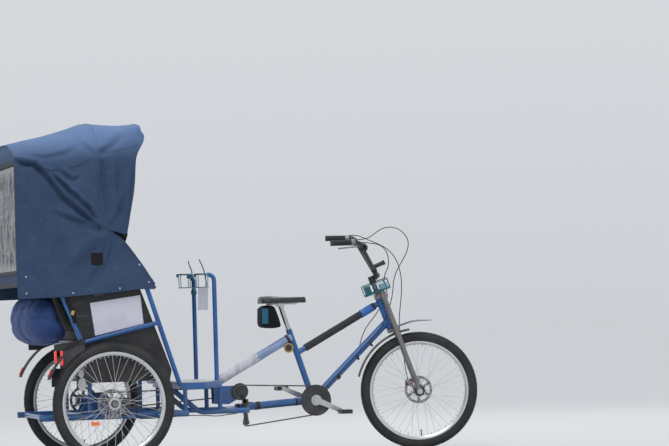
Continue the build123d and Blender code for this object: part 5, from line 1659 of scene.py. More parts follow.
@dataclass
class PassengerSeat:
    """The passengers' seat: a squab, a back cushion and their piping."""

    half: float = 420.4
    squab: SlabFrame = SlabFrame(Vector((-110.2, 0, 745.1)), Vector((0.98768, 0, 0.15652)),
                                 Vector((-0.15652, 0, 0.98768)))
    back: SlabFrame = SlabFrame(Vector((-166.8, 0, 815.1)), Vector((-0.37139, 0, 0.92848)),
                                Vector((0.92848, 0, 0.37139)))

    def build(self) -> None:
        """Makes both cushions."""
        self.cushion("seat_squab", self.squab, 350.0, 85.0, "seat_cushion")
        self.cushion("seat_back_pad", self.back, 480.0, 75.0, "back_cushion")

    def cushion(self, name: str, slab: SlabFrame, length: float, depth: float, node: str) -> None:
        """One cushion with a crowned face, drawn in at its seams.

        Args:
            name: The piece's name.
            slab: The cushion's own axes.
            length: Its length in millimetres.
            depth: Its depth.
            node: The node that it stands for.
        """
        small = 9.0
        reach = self.half - small
        corners = [slab.place(a, w, h) for a in (small, length - small) for w in (-reach, reach)
                   for h in (2.0, depth - 16)]
        faces = [(0, 1, 3, 2), (4, 6, 7, 5), (0, 4, 5, 1), (2, 3, 7, 6), (0, 2, 6, 4), (1, 5, 7, 3)]
        pad = Bench.outward(Bench.shell(name, corners, faces))
        Bench.bevel(pad, 0.022, 4)
        Padding.swell(pad, 0.009, 0.012)

        def sewn(p: Vector) -> Vector:
            """The draw of the middle and cross seams, the crown of the face and the flat base."""
            along, across, height = slab.own(p)
            share = max(0.0, height / depth)
            move = slab.up * (-0.014 * math.exp(-(across / 11) ** 2) * share)
            for k in (1, 2, 3):
                move -= slab.up * (0.006 * math.exp(-((along - length * k / 4) / 9) ** 2) * share)
            crown = math.cos(math.pi * (along / length - 0.5)) * math.cos(math.pi * across / (2.1 * self.half))
            move += slab.up * (0.008 * max(0.0, crown) * share)
            if height < 1.0:
                move += slab.up * ((1.0 - height) / 1000)
            return move

        Padding.press(pad, sewn)
        Bench.modify(pad, "SUBSURF", levels=1, render_levels=1)
        self.keep_inside(pad, slab, length, depth)
        fit(pad, SEAT_VINYL, "frame", "seat_vinyl", node, smooth=60)
        self.piping(name, slab, length, depth)

    def keep_inside(self, pad: bpy.types.Object, slab: SlabFrame, length: float, depth: float) -> None:
        """Holds the pad within the space of its solid.

        Args:
            pad: The pad.
            slab: The cushion's own axes.
            length: Its length in millimetres.
            depth: Its depth.
        """
        def within(p: Vector) -> Vector:
            """The move back into the slab's space."""
            along, across, height = slab.own(p)
            fit = slab.place(min(max(along, 0.5), length + 6), min(max(across, -self.half), self.half),
                             min(max(height, 0.4), depth + 10))
            return fit - p

        Padding.press(pad, within)

    def piping(self, name: str, slab: SlabFrame, length: float, depth: float) -> None:
        """A welt round the cushion's upper edge.

        Args:
            name: The cushion's name.
            slab: The cushion's own axes.
            length: Its length in millimetres.
            depth: Its depth.
        """
        inset, height = 13.0, depth - 21
        reach = self.half - inset
        corners = [(inset, -reach), (length - inset, -reach), (length - inset, reach), (inset, reach)]
        line = []
        for (a, b), (c, d) in zip(corners, corners[1:] + corners[:1]):
            line += [slab.place(a + (c - a) * t, b + (d - b) * t, height) for t in (0.04, 0.3, 0.7, 0.96)]
        out = []
        for p in line:
            along, across, h = slab.own(p)
            grow_a = -8 if along < length * 0.2 else 8 if along > length * 0.8 else 0
            grow_w = -9 if across < -self.half * 0.9 else 9 if across > self.half * 0.9 else 0
            out.append(slab.place(along + grow_a, across + grow_w, h))
        fit(Bench.line(f"{name}_piping", out, 0.0032, closed=True), SEAT_VINYL, "frame", "seat_vinyl", smooth=60)


@dataclass
class StuffedBag:
    """The soft luggage bag behind the seat back, full and gathered along its top."""

    centre: Flat = (-322.0, 806.0)
    half: float = 421.0
    outline: tuple[Flat, ...] = (
        (-199, 750), (-222, 800), (-246, 860), (-278, 938), (-300, 962), (-350, 960), (-400, 930), (-440, 878),
        (-456, 812), (-450, 748), (-420, 700), (-370, 672), (-310, 661), (-255, 664), (-212, 690), (-198, 722),
    )

    def ring(self, angle: float) -> float:
        """The bag's reach in its own cross-section.

        Args:
            angle: The way from its centre, in radians.

        Returns:
            The reach in millimetres.
        """
        best = 0.0
        ux, uz = math.cos(angle), math.sin(angle)
        spokes = [(x - self.centre[0], z - self.centre[1]) for x, z in self.outline]
        for (ax, az), (bx, bz) in zip(spokes, spokes[1:] + spokes[:1]):
            cross = ux * (bz - az) - uz * (bx - ax)
            if abs(cross) < 1e-9:
                continue
            t = (ax * (bz - az) - az * (bx - ax)) / cross
            s = (ax * uz - az * ux) / cross
            if t > 0 and -1e-9 <= s <= 1 + 1e-9:
                best = max(best, t)
        return best

    def build(self) -> None:
        """Lofts the bag between its two ends, and creases it."""
        around, across = 120, 110
        radii = [self.ring(math.tau * k / around) for k in range(around)]
        smooth = [sum(radii[(k + d) % around] for d in range(-3, 4)) / 7 for k in range(around)]
        points = []
        for j in range(across):
            u = -1 + 2 * j / (across - 1)
            y = self.half * math.copysign(1 - (1 - abs(u)) ** 1.7, u)
            end = (1 - min(1.0, abs(y) / self.half) ** 5) ** 0.42
            for k in range(around):
                a = math.tau * k / around
                r = smooth[k] * end
                top = eased((math.sin(a) - 0.2) / 0.7)
                gather = 6.5 * math.sin(y / 19 + 1.7 * math.sin(y / 70)) * top
                swell = 6.0 * math.sin(y / 140 + 0.9)
                r += (gather + swell - 7) * end
                points.append(at(self.centre[0] + r * math.cos(a), y, self.centre[1] + r * math.sin(a)))
        faces = Bench.quads(across, around, around=True, capped=True)
        bag = Bench.outward(Bench.shell("luggage_bag", points, faces))
        Padding.crumple(bag, 0.011, (4.0, 3.4, 2.6), 1.7)
        Padding.crumple(bag, 0.0025, (14.0, 12.0, 7.0), 4.1)
        fit(bag, BAG_CLOTH, "frame", "bag_cloth", "storage_bag", smooth=80)


@dataclass
class Saddle:
    """The rider's saddle and the wedge bag strapped under it."""

    post_x: float = 1071.3
    post_z: float = 854.0

    def build(self) -> None:
        """Makes saddle and bag."""
        self.top()
        self.bag()

    def top(self) -> None:
        """A broad sprung saddle with a long nose and a shallow middle channel."""
        stations = [(-122, 40, 30), (-118, 62, 34), (-100, 76, 38), (-70, 82, 40), (-30, 66, 38), (10, 44, 36),
                    (50, 29, 34), (95, 23, 32), (130, 20, 30), (148, 15, 28), (152, 8, 24)]
        around, rows = 40, 56
        keys = [s[0] for s in stations]
        points = []
        for x in steps(keys[0], keys[-1], rows):
            half, rise = through(keys, [Vector((s[1], s[2], 0)) for s in stations], x).xy
            dip = 6.0 * math.exp(-((x - 20) / 70) ** 2)
            for k in range(around):
                a = math.tau * k / around
                c, s = math.cos(a), math.sin(a)
                y = half * math.copysign(abs(c) ** 0.8, c)
                if s >= 0:
                    z = rise * (s ** 0.75) - dip * math.exp(-(y / 16) ** 2) * s
                else:
                    z = -6.0 * abs(s) ** 0.5
                points.append(at(self.post_x + x, y, 868.4 + max(-5.6, z - 2)))
        saddle = Bench.outward(Bench.shell("saddle_pad", points, Bench.quads(rows, around, around=True, capped=True)))
        Bench.modify(saddle, "SUBSURF", levels=1, render_levels=1)
        fit(saddle, SADDLE_COVER, "frame", "saddle_cover", "saddle", smooth=80)

    def bag(self) -> None:
        """A black wedge bag with a teal panel on each side."""
        top = self.post_z - 0.3
        outline = [(-126, top - 110), (-124, top - 60), (-120, top - 14), (-106, top - 2), (-74, top - 1),
                   (-44, top - 2), (-28, top - 46), (-6, top - 116), (-10, top - 130), (-50, top - 131),
                   (-94, top - 131), (-118, top - 126)]
        layers = [(-1.0, 0.86), (-0.93, 0.94), (-0.8, 0.985), (-0.4, 1.0), (0.0, 1.01), (0.4, 1.0), (0.8, 0.985),
                  (0.93, 0.94), (1.0, 0.86)]
        cx = sum(p[0] for p in outline) / len(outline)
        cz = sum(p[1] for p in outline) / len(outline)
        points = []
        for share, grow in layers:
            for x, z in outline:
                points.append(at(self.post_x + cx + (x - cx) * grow, share * 61.0, cz + (z - cz) * grow))
        faces = Bench.quads(len(layers), len(outline), around=True, capped=True)
        bag = Bench.outward(Bench.shell("saddle_wedge_bag", points, faces))
        Bench.modify(bag, "SUBSURF", levels=3, render_levels=3)
        Padding.press(bag, lambda p: Vector((0, math.copysign(
            0.003 * noise.fractal(p * 26, 0.6, 2.1, 3), p.y), 0.002 * noise.noise(p * 31))))
        fit(bag, SADDLE_BAG_CLOTH, "frame", "saddle_bag_cloth", "saddle_bag", smooth=70)
        panels = []
        for side in Side:
            panel = Bench.block("panel", at(self.post_x - 103, side * 61.8, top - 62), (0.036, 0.004, 0.088),
                                (0, math.radians(2), 0))
            panels.append(Bench.bevel(Bench.inset(panel, lambda way: abs(way.y) > 0.9, 0.005, 0.0008), 0.0012))
        fit(Bench.join("saddle_bag_panels", panels), TEAL_CLOTH, "frame", "saddle_bag_cloth")


# Wheels


@dataclass
class Wheel:
    """One wheel's dressing: tyre with tread, spoke nipples and valve."""

    name: str
    body: str
    node: str
    place: Matrix
    side: Side | None = None
    radius: float = AXLE_HEIGHT
    section: float = 29.0

    def build(self) -> None:
        """Makes the tyre and the small parts of rim and hub."""
        self.tyre()
        self.rim_parts()
        if self.side is None:
            profile = ((18, 31.9), (33, 31.9), (33.4, 33.4), (18, 34.2))
            flanges = [Bench.lathe("flange", [(r, side * y) for r, y in profile], 48, self.place) for side in Side]
            fit(Bench.join("front_hub_flanges", flanges), BLACK_PAINT, self.body, "black_metal")
        else:
            self.hub_parts()

    def hub_parts(self) -> None:
        """A bright ring and a dark cap on the hub's outer face, and an amber reflector among the spokes, with a
        painted glow.
        """
        for name, profile, finish, slot in (
            ("hub_ring", ((19, 31.9), (33, 31.9), (33.4, 33.2), (32, 34.2), (21, 34.6), (19, 33.6)), ALLOY, "alloy"),
            ("hub_cap", ((15.6, 33), (18.6, 33), (18.6, 42.2), (17.4, 43.6), (15.6, 43.6)), BLACK_PLASTIC,
             "black_plastic"),
        ):
            ring = Bench.lathe(f"{self.name}_{name}", [(r, self.side * y) for r, y in profile], 48, self.place)
            fit(ring, finish, self.body, slot)
        lens = Bench.bevel(Bench.block("lens", (0, 0, 0), (0.046, 0.007, 0.020)), 0.002)
        Bench.inset(lens, lambda way: abs(way.y) > 0.9, 0.003, -0.0008)
        lens.name = f"{self.name}_spoke_reflector"
        lens.data.transform(self.place @ Matrix.Translation((-0.105, 0, -0.105)))
        fit(lens, AMBER_LENS_PAINTED_GLOW, self.body, "red_lens")

    def tyre(self) -> None:
        """A round tyre: bead, sidewall ribs, shoulder and a tread of low blocks."""
        middle = self.radius - self.section
        bead, half_bead = 285.5, 18.5
        tread_height, rib, lip = 2.2, 0.7, 0.9
        profile = [(bead, -half_bead)]
        for k in range(37):
            a = math.radians(-128 + 256 * k / 36)
            reach = self.section - tread_height
            if 62 < abs(math.degrees(a)) < 70 or 84 < abs(math.degrees(a)) < 88:
                reach += rib
            if abs(math.degrees(a)) > 112:
                reach += lip
            profile.append((middle + reach * math.cos(a), reach * math.sin(a)))
        profile.append((bead, half_bead))
        ring = Bench.lathe(f"{self.name}_tyre_tread", profile, 144)
        block = Bench.block("tread", (0, 0, 0), (0.0050, 0.0085, 0.0105))
        Bench.inset(block, lambda way: way.x > 0.9, 0.0012, 0.0, slide=0.0004)
        moves = []
        count, twist_angle = 132, 18
        for k in range(count):
            turn = Matrix.Rotation(math.tau * k / count, 4, "Y")
            odd = k % 2
            twist = Matrix.Rotation(math.radians(twist_angle if odd else -twist_angle), 4, "X")
            for tilt in ((-36, -13, 10, 33) if odd else (-33, -10, 13, 36)):
                move = Matrix.Translation((middle / 1000, 0, 0)) @ Matrix.Rotation(math.radians(tilt), 4, "Z") \
                    @ Matrix.Translation(((self.section - 2.6) / 1000, 0, 0)) @ twist
                moves.append(turn @ move)
        tyre = Bench.join(f"{self.name}_tyre_tread", [ring, Bench.copies("tread", block, moves)])
        tyre.data.transform(self.place)
        fit(tyre, TYRE_RUBBER, self.body, "tyre_rubber", self.node, smooth=40)

    def rim_parts(self) -> None:
        """Spoke nipples on the rim's inner face, and the valve."""
        count = 36
        nipple = Bench.drum("nipple", Vector((0.2652, 0, 0)), Vector((0.2545, 0, 0)), 0.0026, 8, 0.0021)
        moves = []
        for k in range(count):
            turn = Matrix.Rotation(math.radians(360.0 / count * k + 5.0), 4, "Y")
            moves.append(turn @ Matrix.Translation((0, -0.003 if k % 2 else 0.003, 0)))
        made = Bench.copies(f"{self.name}_nipples", nipple, moves)
        made.data.transform(self.place)
        fit(made, BRIGHT_STEEL, self.body, "bright_steel")
        stem = Bench.drum("stem", Vector((0.2665, 0, 0)), Vector((0.236, 0, 0)), 0.0032, 14)
        cap = Bench.drum("cap", Vector((0.238, 0, 0)), Vector((0.229, 0, 0)), 0.0045, 10, 0.0038)
        valve = Bench.bevel(Bench.join(f"{self.name}_valve", [stem, cap]), 0.0006)
        valve.data.transform(Matrix.Rotation(math.radians(88), 4, "Y"))
        valve.data.transform(self.place)
        fit(valve, BLACK_PLASTIC, self.body, "black_plastic")


@dataclass
class Mudguards:
    """Domed guards: one over the front wheel with its pointed blade ahead, one behind each rear wheel."""

    def build(self) -> None:
        """Makes the three guards."""
        front = self.guard("front", Head.wheel(), 361.0, 50.0, 98, 166, 7.0)
        bridge = Bench.drum("bridge", Head.place(24, 0, 362.5), Head.place(24, 0, 371.6), 0.011, 20)
        bolt = Bench.drum("bolt", Head.place(24, 0, 358.5), Head.place(24, 0, 362.5), 0.007, 6)
        made = Bench.join("front_guard", [front, Bench.bevel(bridge, 0.001), bolt, *self.beak()])
        fit(made, GREY_PLASTIC, "steer", "black_plastic", "front_mudguard", smooth=40)
        guards = []
        for side in Side:
            guards.append(self.guard("rear", side.axle(), 388.6, 60.0, 114, 158, 8.0))
            plate = Bench.block("plate", at(-155, side * 477, 692), (0.026, 0.040, 0.004))
            guards += [Bench.bevel(plate, 0.001),
                       Bench.drum("bolt", at(-155, side * 484, 694), at(-155, side * 484, 698), 0.005, 6)]
        fit(Bench.join("rear_guards", guards), BLACK_PLASTIC, "frame", "black_metal", "rear_mudguards", smooth=40)

    def guard(self, name: str, place: Matrix, radius: float, width: float, start: float, end: float,
              dome: float) -> bpy.types.Object:
        """One blade: a shallow dome with rolled edges, swept round its wheel.

        Args:
            name: Which guard it is. The front one narrows to its end.
            place: The wheel's place.
            radius: The blade's radius in millimetres.
            width: Its width.
            start: The angle of its fore end in degrees, from straight ahead.
            end: The angle of its other end.
            dome: How far its edges lie below its middle.

        Returns:
            The blade.
        """
        half = width / 2
        rows, narrowing = 40, 33
        section = []
        for k in range(13):
            y = half * (-1 + 2 * k / 12)
            section.append((radius + 1.2 - dome * (y / half) ** 2, y))
        section = [(section[0][0] - 2.5, -half + 1.2)] + section + [(section[-1][0] - 2.5, half - 1.2)]
        points = []
        for i, angle in enumerate(steps(math.radians(start), math.radians(end), rows)):
            taper = 1 - 0.35 * eased((i - narrowing) / 6) if name == "front" else 1.0
            for r, y in section:
                points.append(Vector((r * math.cos(angle) / 1000, y * taper / 1000, r * math.sin(angle) / 1000)))
        blade = Bench.shell(f"{name}_blade", points, Bench.quads(rows, len(section)), 0.0022)
        blade.data.transform(place)
        return blade

    def beak(self) -> list[bpy.types.Object]:
        """The front guard's blade ahead of the crown, domed and narrowing to its tip, with its root tab.

        Returns:
            The blade and the tab.
        """
        keys, path = (0.0, 0.5, 1.0), (Vector((45.3, 392, 25)), Vector((140, 386, 24)), Vector((236, 352, 8)))
        rows, width = 30, 11
        points = []
        for share in steps(0, 1, rows):
            ahead, along, half = through(keys, path, share)
            for u in steps(-1, 1, width):
                points.append(Head.place(ahead, u * half, along + 3 - 6 * u * u * min(1.0, half / 20)))
        blade = Bench.shell("beak", points, Bench.quads(rows, width), 0.0024)
        tab = Bench.block("tab", (0, 0, 0), (0.004, 0.048, 0.020))
        Bench.bevel(tab, 0.001).data.transform(Head.spot(47.4, 0, 385))
        return [blade, tab]


# Trims


@dataclass
class Trims:
    """What is wrapped, hung, clipped and screwed on: tapes, cards, hooks, lamps, guard disc and bolts."""

    boom: tuple[Place, Place] = ((688, 0, 426), (1131.7, 0, 668))
    lower: tuple[Place, Place] = ((793.3, 0, 275), CRANK)
    top: tuple[Place, Place] = ((1668.3, 0, 852.3), (1161.9, 0, 575))
    down: tuple[Place, Place] = (CRANK, (1714.8, 0, 724.5))

    def build(self) -> None:
        """Makes every trim."""
        self.tapes()
        self.badge()
        self.cards()
        self.wires()
        self.basket()
        self.lamps()
        self.crank()
        self.fork()
        self.strap()
        self.cables()

    @staticmethod
    def wrap(ends: tuple[Place, Place], radius: float, low: float, high: float, ragged: float,
             rings: int) -> bpy.types.Object:
        """Tape wound on a tube, with ragged ends.

        Args:
            ends: The tube's two ends, in layout millimetres.
            radius: The tape's radius in millimetres.
            low: Where it starts, as a share of the tube's length.
            high: Where it stops.
            ragged: How far its ends stray, in metres.
            rings: How many rings of points it has.

        Returns:
            The tape.
        """
        start, end = at(*ends[0]), at(*ends[1])
        length = (end - start).length
        way = (end - start) / length
        turn = way.to_track_quat("Z", "Y").to_matrix()
        sides = 36
        points = []
        for share in steps(0, 1, rings):
            for k in range(sides):
                a = math.tau * k / sides
                out = turn @ Vector((math.cos(a), math.sin(a), 0))
                edge = cloud(out * 2.2 + Vector((low * 9, 0, 0))) * ragged
                s = (low + (high - low) * share) * length + edge * (2 * share - 1)
                swell = 0.0005 * noise.noise(out * 3 + way * (s * 60))
                points.append(start + way * s + out * (radius / 1000 + swell))
        return Bench.shell("tape", points, Bench.quads(rings, sides, around=True), 0.0008)

    def tapes(self) -> None:
        """Pale tape on the upper boom, blue tape on the sleeve and black bands on the lower tubes."""
        for name, finish, bands in (
            ("boom_tape", PALE_TAPE, ((self.boom, 26.2, 0.04, 0.55, 0.030, 30),)),
            ("sleeve_tape", BLUE_TAPE, ((self.top, 22.6, 0.105, 0.236, 0.008, 10),)),
            ("tube_tapes", BLACK_TAPE, (
                (self.lower, 22.8, 0.02, 0.05, 0.001, 4), (self.lower, 22.8, 0.262, 0.31, 0.002, 6),
                (self.lower, 22.8, 0.765, 0.79, 0.001, 4), (self.down, 22.8, 0.30, 0.33, 0.002, 4),
                (self.down, 22.8, 0.56, 0.575, 0.001, 4), (self.down, 22.8, 0.74, 0.75, 0.001, 4),
                (self.boom, 26.4, 0.935, 0.965, 0.001, 4))),
        ):
            fit(Bench.join(name, [self.wrap(*band) for band in bands]), finish, "frame", "black_plastic", smooth=50)

    @staticmethod
    def cables() -> None:
        """The control cables' casings, copied from the source's cables and dressed."""
        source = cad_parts["control_cables"]
        run = bpy.data.objects.new("control_casings", source.data.copy())
        bpy.context.collection.objects.link(run)
        run.data.materials.clear()
        Bench.dress(Bench.outward(run, 1e-6), CABLE_CASING, 60)
        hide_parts("control_cables")
        at(1697, 0, 715)
        at(1697, 0, 900)
        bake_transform(run)

    def badge(self) -> None:
        """A round badge with a bare black face in a brass ring, hung from the upper boom."""
        place = Matrix.Translation(at(1109, -24, 606))
        for name, finish, profile in (
            ("badge_ring", BRASS,
             ((22, -3), (27.4, -3), (28, -1.5), (28, 1.5), (27.4, 3), (22, 3), (21, 1.4), (21, -1.4))),
            ("badge_face", BLACK_PLASTIC, ((0.4, -1.2), (21.5, -1.2), (21.5, 1.2), (0.4, 1.2))),
            ("badge_inner_ring", BRASS, ((16.4, -1.9), (17.6, -1.9), (17.6, 1.9), (16.4, 1.9))),
        ):
            fit(Bench.lathe(name, profile, 56, place), finish, "frame", "bright_steel")
        link = Bench.drum("badge_link", at(1109, -23.5, 632), at(1108, -22, 643), 0.0028, 12)
        fit(link, BLACK_PLASTIC, "frame", "black_plastic")

    @staticmethod
    def card(name: str, corners: Sequence[Flat], y: float, side: Side, buckle: float) -> None:
        """A blank card, buckled a little.

        Args:
            name: The piece's name.
            corners: Its corners' layout x and z.
            y: How far it stands from the middle of the vehicle, in millimetres.
            side: The side that it is on.
            buckle: How far it buckles outwards.
        """
        (ax, az), (bx, bz), (cx, cz), (dx, dz) = corners
        rows, width = 13, 19
        points = []
        for v in steps(0, 1, rows):
            for u in steps(0, 1, width):
                x = (ax * (1 - u) + bx * u) * (1 - v) + (dx * (1 - u) + cx * u) * v
                z = (az * (1 - u) + bz * u) * (1 - v) + (dz * (1 - u) + cz * u) * v
                wave = 0.5 + 0.5 * noise.fractal(Vector((x / 130, side * 2.3, z / 100)), 0.5, 2.2, 2)
                points.append(at(x, side * (y + buckle * max(0.0, wave)), z))
        plate = Bench.shell(name, points, Bench.quads(rows, width), 0.0008)
        fit(plate, WHITE_CARD, "frame", "black_plastic", smooth=60)

    def cards(self) -> None:
        """The blank sign on each side panel and the blank card that hangs at the cup holders."""
        for side in Side:
            self.card(f"blank_sign_{side.name.lower()}", ((-102, 893), (179, 929), (194, 771), (-78, 713)), 437.6,
                      side, 4.0)
        self.card("blank_tag", ((643, 965), (702, 963), (698, 836), (639, 838)), 225.0, Side.LEFT, 4.0)

    def wires(self) -> None:
        """Tall bent hooks on the cup holders, and the thicker coated rims of their rings."""
        hooks = []
        for line in (((592, 227, 1122), (590, 227, 1112), (601, 227, 1084), (611, 226, 1060), (609, 226, 1040)),
                     ((655, 227, 1130), (657, 227, 1122), (676, 227, 1084), (688, 227, 1030), (694, 227, 984),
                      (690, 227, 970))):
            hooks.append(Bench.line("hook", [at(*place) for place in line], 0.0034, sides=3))
        for x in (566, 668):
            circle = [at(x + 42.6 * math.cos(a), 227 + 42.6 * math.sin(a), 1044) for a in steps(0, 5.98, 20)]
            hooks.append(Bench.line("rim", circle, 0.0044, closed=True, sides=3))
            for ahead in (-42, 42):
                pad = Bench.block("pad", at(x + ahead, 227, 1038), (0.012, 0.022, 0.020))
                hooks.append(Bench.bevel(pad, 0.003))
        fit(Bench.join("cup_holder_hooks", hooks), TEAL_WIRE, "frame", "teal_wire", smooth=60)

    def basket(self) -> None:
        """Two small bare boxes carried in the wire cage."""
        for name, finish, place, size in (
            ("cage_box_pale", PALE_BOX, (48, 4, 638), (0.050, 0.084, 0.030)),
            ("cage_box_teal", TEAL_BOX, (-46, -4, 644), (0.038, 0.074, 0.044)),
        ):
            box = Bench.inset(Bench.block(name, (0, 0, 0), size), lambda way: way.z > 0.9, 0.004, 0.0012)
            Bench.bevel(box, 0.003, 3).data.transform(Head.spot(*place))
            fit(box, finish, "steer", "black_plastic")

    def lamps(self) -> None:
        """Lit diodes on the tail lamps, and a red reflector with a painted glow on each rear guard."""
        diodes = [Bench.drum("diode", at(x, -471.2, z), at(x, -473.2, z), 0.0044, 14, 0.0028)
                  for x in (-305, -270) for z in steps(563, 629, 6)]
        fit(Bench.join("tail_diodes", diodes), LIT_RED, "frame", "red_lens")
        lenses = []
        for side in Side:
            lens = Bench.block("lens", (0.3932, 0, 0), (0.006, 0.026, 0.046))
            Bench.bevel(Bench.inset(lens, lambda way: way.x > 0.9, 0.003, -0.001), 0.001)
            lens.data.transform(side.axle() @ Matrix.Rotation(math.radians(-153), 4, "Y"))
            lenses.append(lens)
        fit(Bench.join("guard_reflectors", lenses), RED_LENS, "frame", "red_lens")

    def crank(self) -> None:
        """The black guard disc outside the chainring, with its rolled rim and five bolts."""
        profile = ((31, -72.3), (87.3, -72.3), (87.3, -68.8), (88.6, -68.8), (89.3, -71.5), (88.4, -73.8),
                   (84, -74.7), (78, -73.9), (42, -74.8), (31, -74.8))
        pieces = [Bench.lathe("chain_guard", profile, 80, Matrix.Translation(at(*CRANK)))]
        for k in range(5):
            a = math.radians(72 * k + 20)
            x, z = CRANK[0] + 55 * math.cos(a), CRANK[2] + 55 * math.sin(a)
            pieces.append(Bench.drum("bolt", at(x, -74, z), at(x, -77.2, z), 0.0055, 16, 0.0045))
        fit(Bench.join("chain_guard", pieces), BLACK_PAINT, "crank", "black_metal")

    def fork(self) -> None:
        """Axle nuts, crown bolts and the red-brown caps of the legs."""
        leg, axle = 65, 24
        nuts, caps = [], []
        for side in Side:
            for name, near, far, radius, sides in (("washer", 77, 80.6, 0.0155, 28), ("nut", 80, 90, 0.0105, 6),
                                                   ("end", 89, 94, 0.0055, 16)):
                nuts.append(Bench.drum(name, Head.place(axle, side * near, 0), Head.place(axle, side * far, 0),
                                       radius, sides))
            for along in (378, 390):
                nuts.append(Bench.drum("bolt", Head.place(12, side * leg, along), Head.place(27, side * leg, along),
                                       0.0052, 12))
            caps.append(Bench.drum("cap", Head.place(0, side * leg, 607), Head.place(0, side * leg, 615.5), 0.0172,
                                   32))
        fit(Bench.join("fork_bolts", [Bench.bevel(nut, 0.0008) for nut in nuts]), ALLOY, "steer", "bright_steel")
        fit(Bench.join("leg_caps", [Bench.bevel(cap, 0.002) for cap in caps]), CALIPER_RED, "steer", "black_plastic")

    def strap(self) -> None:
        """A webbing strap with a buckle down the near rear post."""
        places = [Vector((x, 0, z)) for x, z in ((-232, 916), (-226, 898), (-206, 850), (-196, 812), (-190, 786))]
        keys = [0.0, 0.15, 0.5, 0.85, 1.0]
        line = []
        for share in steps(0, 1, 24):
            x, _, z = through(keys, places, share)
            line.append(at(x, -464.4 - 3.0 * math.sin(math.pi * share), z))
        strip = Sewing.strip("post_strap", line, [Vector((0, -1, 0))] * len(line), 0.024, 0.0022)
        fit(strip, BLACK_WEBBING, "frame", "saddle_bag_cloth", smooth=40)
        buckle = Bench.block("post_buckle", at(-204, -469.6, 842), (0.024, 0.005, 0.017), (0, math.radians(-74), 0))
        Bench.bevel(Bench.inset(buckle, lambda way: way.y < -0.9, 0.004, -0.0015), 0.001)
        fit(buckle, BRASS, "frame", "bright_steel")


# The stage


@dataclass
class Studio:
    """Floor, soft light and the camera at the photograph's place."""

    photo_width: float = 669.0
    focal: float = 3087.34
    yaw: float = math.radians(-14.26824)
    pitch: float = math.radians(-1.5915)
    roll: float = math.radians(1.7060)
    eye: Place = (-2966.65, -17200.84, 821.56)
    light_sky: tuple[tuple[float, Colour], ...] = (
        (0.0, (0.20, 0.20, 0.21)), (0.5, (0.22, 0.23, 0.25)), (0.75, (0.66, 0.69, 0.74)), (1.0, (1.70, 1.76, 1.85)))
    seen_sky: tuple[tuple[float, Colour], ...] = (
        (0.0, (0.60, 0.63, 0.665)), (0.5, (0.604, 0.632, 0.667)), (0.54, (0.66, 0.685, 0.715)),
        (0.65, (0.77, 0.79, 0.81)))
    aim: Place = (0, 0, 0.9)

    def build(self) -> None:
        """Sets the stage."""
        self.camera()
        self.floor()
        self.light()
        bpy.context.scene.view_settings.view_transform = "Standard"

    def camera(self) -> None:
        """The camera, from its focal length in the photograph's pixels and its measured angles."""
        data = bpy.data.cameras.new("camera")
        data.sensor_width = 36.0
        data.lens = self.focal * data.sensor_width / self.photo_width
        data.clip_end = 200
        camera = bpy.data.objects.new("camera", data)
        bpy.context.scene.collection.objects.link(camera)
        bpy.context.scene.camera = camera
        cy, sy = math.cos(self.yaw), math.sin(self.yaw)
        right, ahead, down = Vector((cy, sy, 0)), Vector((-sy, cy, 0)), Vector((0, 0, -1))
        cp, sp = math.cos(self.pitch), math.sin(self.pitch)
        ahead, down = ahead * cp + down * sp, down * cp - ahead * sp
        cr, sr = math.cos(self.roll), math.sin(self.roll)
        right, down = right * cr + down * sr, down * cr - right * sr
        turn = Matrix((right, -down, -ahead)).transposed().to_4x4()
        camera.matrix_world = Matrix.Translation(at(*self.eye)) @ turn

    def floor(self) -> None:
        """A plain pale floor that keeps the shadow."""
        Bench.clear()
        bpy.ops.mesh.primitive_plane_add(size=240, location=(0, 0, -0.0005))
        floor = bpy.context.object
        floor.name = "floor"
        tree = Tree(bpy.data.materials.new("pale_floor"))
        floor.data.materials.append(tree.set(Base_Color=(0.56, 0.56, 0.555), Roughness=0.85))

    def light(self) -> None:
        """One sky that lights, a paler one that is seen and mirrored, one large soft key and a weak rim light."""
        world = bpy.data.worlds.new("sky")
        bpy.context.scene.world = world
        tree = Tree(world)
        ways = tree.node("ShaderNodeTexCoord", {}, {}, "Generated")
        rise = tree.node("ShaderNodeSeparateXYZ", {}, {0: ways}, 2)
        spread = tree.node("ShaderNodeMapRange", {}, {"Value": rise, "From Min": -1})
        skies = []
        for stops in (self.light_sky, self.seen_sky):
            ramp = tree.node("ShaderNodeValToRGB", {"stops": stops}, {0: spread})
            skies.append(tree.node("ShaderNodeBackground", {}, {"Color": ramp}))
        seen, mirrored, through_glass = (tree.node("ShaderNodeLightPath", {}, {}, f"Is {ray} Ray")
                                         for ray in ("Camera", "Glossy", "Transmission"))
        either = seen.maths("MAXIMUM", seen, mirrored)
        either = either.maths("MAXIMUM", either, through_glass)
        shown = tree.node("ShaderNodeMixShader", {}, {0: either, 1: skies[0], 2: skies[1]})
        out = next(n for n in tree.nodes if n.type == "OUTPUT_WORLD")
        tree.put(out.inputs[0], shown)
        for name, place, size, power in (("key", (-2.2, -3.4, 6.2), 4.0, 110.0), ("rim", (3.0, 4.0, 4.6), 3.5, 60.0)):
            data = bpy.data.lights.new(name, "AREA")
            data.energy = power
            data.size = size
            lamp = bpy.data.objects.new(name, data)
            bpy.context.scene.collection.objects.link(lamp)
            lamp.location = place
            lamp.rotation_euler = (Vector(self.aim) - Vector(place)).to_track_quat("-Z", "Y").to_euler()


# CAD pieces that keep their shape

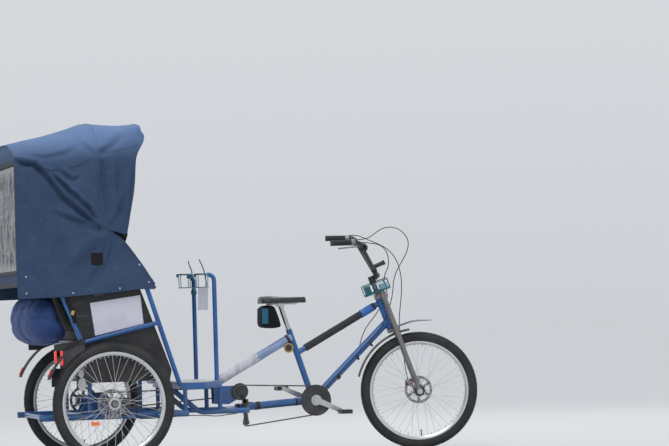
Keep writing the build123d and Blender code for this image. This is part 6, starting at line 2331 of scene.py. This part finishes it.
CAD_FINISHES: dict[Finish, tuple[str, ...]] = {
    FRAME_BLUE: ("chassis_frame", "drive_frame", "jackshaft_plates", "footboard_frame", "handrails", "cab_frame",
                 "bike_frame", "lower_boom"),
    BOOM_SILVER: ("upper_boom",),
    BLACK_PAINT: ("differential", "rear_calipers", "canopy_bows", "handlebar", "jackshaft", "lamp_brackets",
                  "derailleur"),
    CALIPER_RED: ("front_caliper",),
    DARK_STEEL: ("front_hub", "rear_hub_left", "rear_hub_right"),
    ALLOY: ("crankset",),
    FORK_GREY: ("fork",),
    RIM_ALLOY: ("front_rim", "rear_rim_left", "rear_rim_right"),
    BRIGHT_STEEL: ("saddle_post",),
    CHAIN_STEEL: ("front_chain", "rear_chain"),
    TEAL_WIRE: ("cup_holders", "wire_cage"),
    DECK_PLATE: ("footboard_deck",),
    BLACK_BOARD: ("side_panel_left", "side_panel_right", "seat_box", "back_board"),
    FOAM_SLEEVE: ("top_tube_sleeve",),
    RED_LENS: ("tail_lamps",),
    CLEAR_LENS: ("side_reflectors",),
    GRIP_RUBBER: ("grips",),
    LEVER_ALLOY: ("brake_levers",),
    BLACK_PLASTIC: ("bar_fittings", "pedal_left", "pedal_right"),
    CABLE_CASING: ("front_brake_hose",),
}


def dress_nodes() -> None:
    """Gives the CAD pieces that stay their finishes."""
    for finish, names in CAD_FINISHES.items():
        for name in names:
            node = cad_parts.get(name)
            if node is None:
                LOG.warning("no node %s", name)
                continue
            for slot in node.material_slots:
                slot.link = "OBJECT"
                slot.material = finish.material()


def main() -> None:
    """Builds the stage and every sub-assembly."""
    logging.basicConfig(level=logging.INFO, format="%(message)s")
    Studio().build()
    dress_nodes()
    Canopy().build()
    PassengerSeat().build()
    StuffedBag().build()
    Saddle().build()
    for side in (Side.LEFT, Side.RIGHT):
        name = side.name.lower()
        Wheel(f"rear_{name}", f"rear_wheel_{name}", f"rear_tyre_{name}", side.axle(), side).build()
    Wheel("front", "front_wheel", "front_tyre", Head.wheel()).build()
    Mudguards().build()
    Trims().build()


if __name__ == "__main__":
    main()
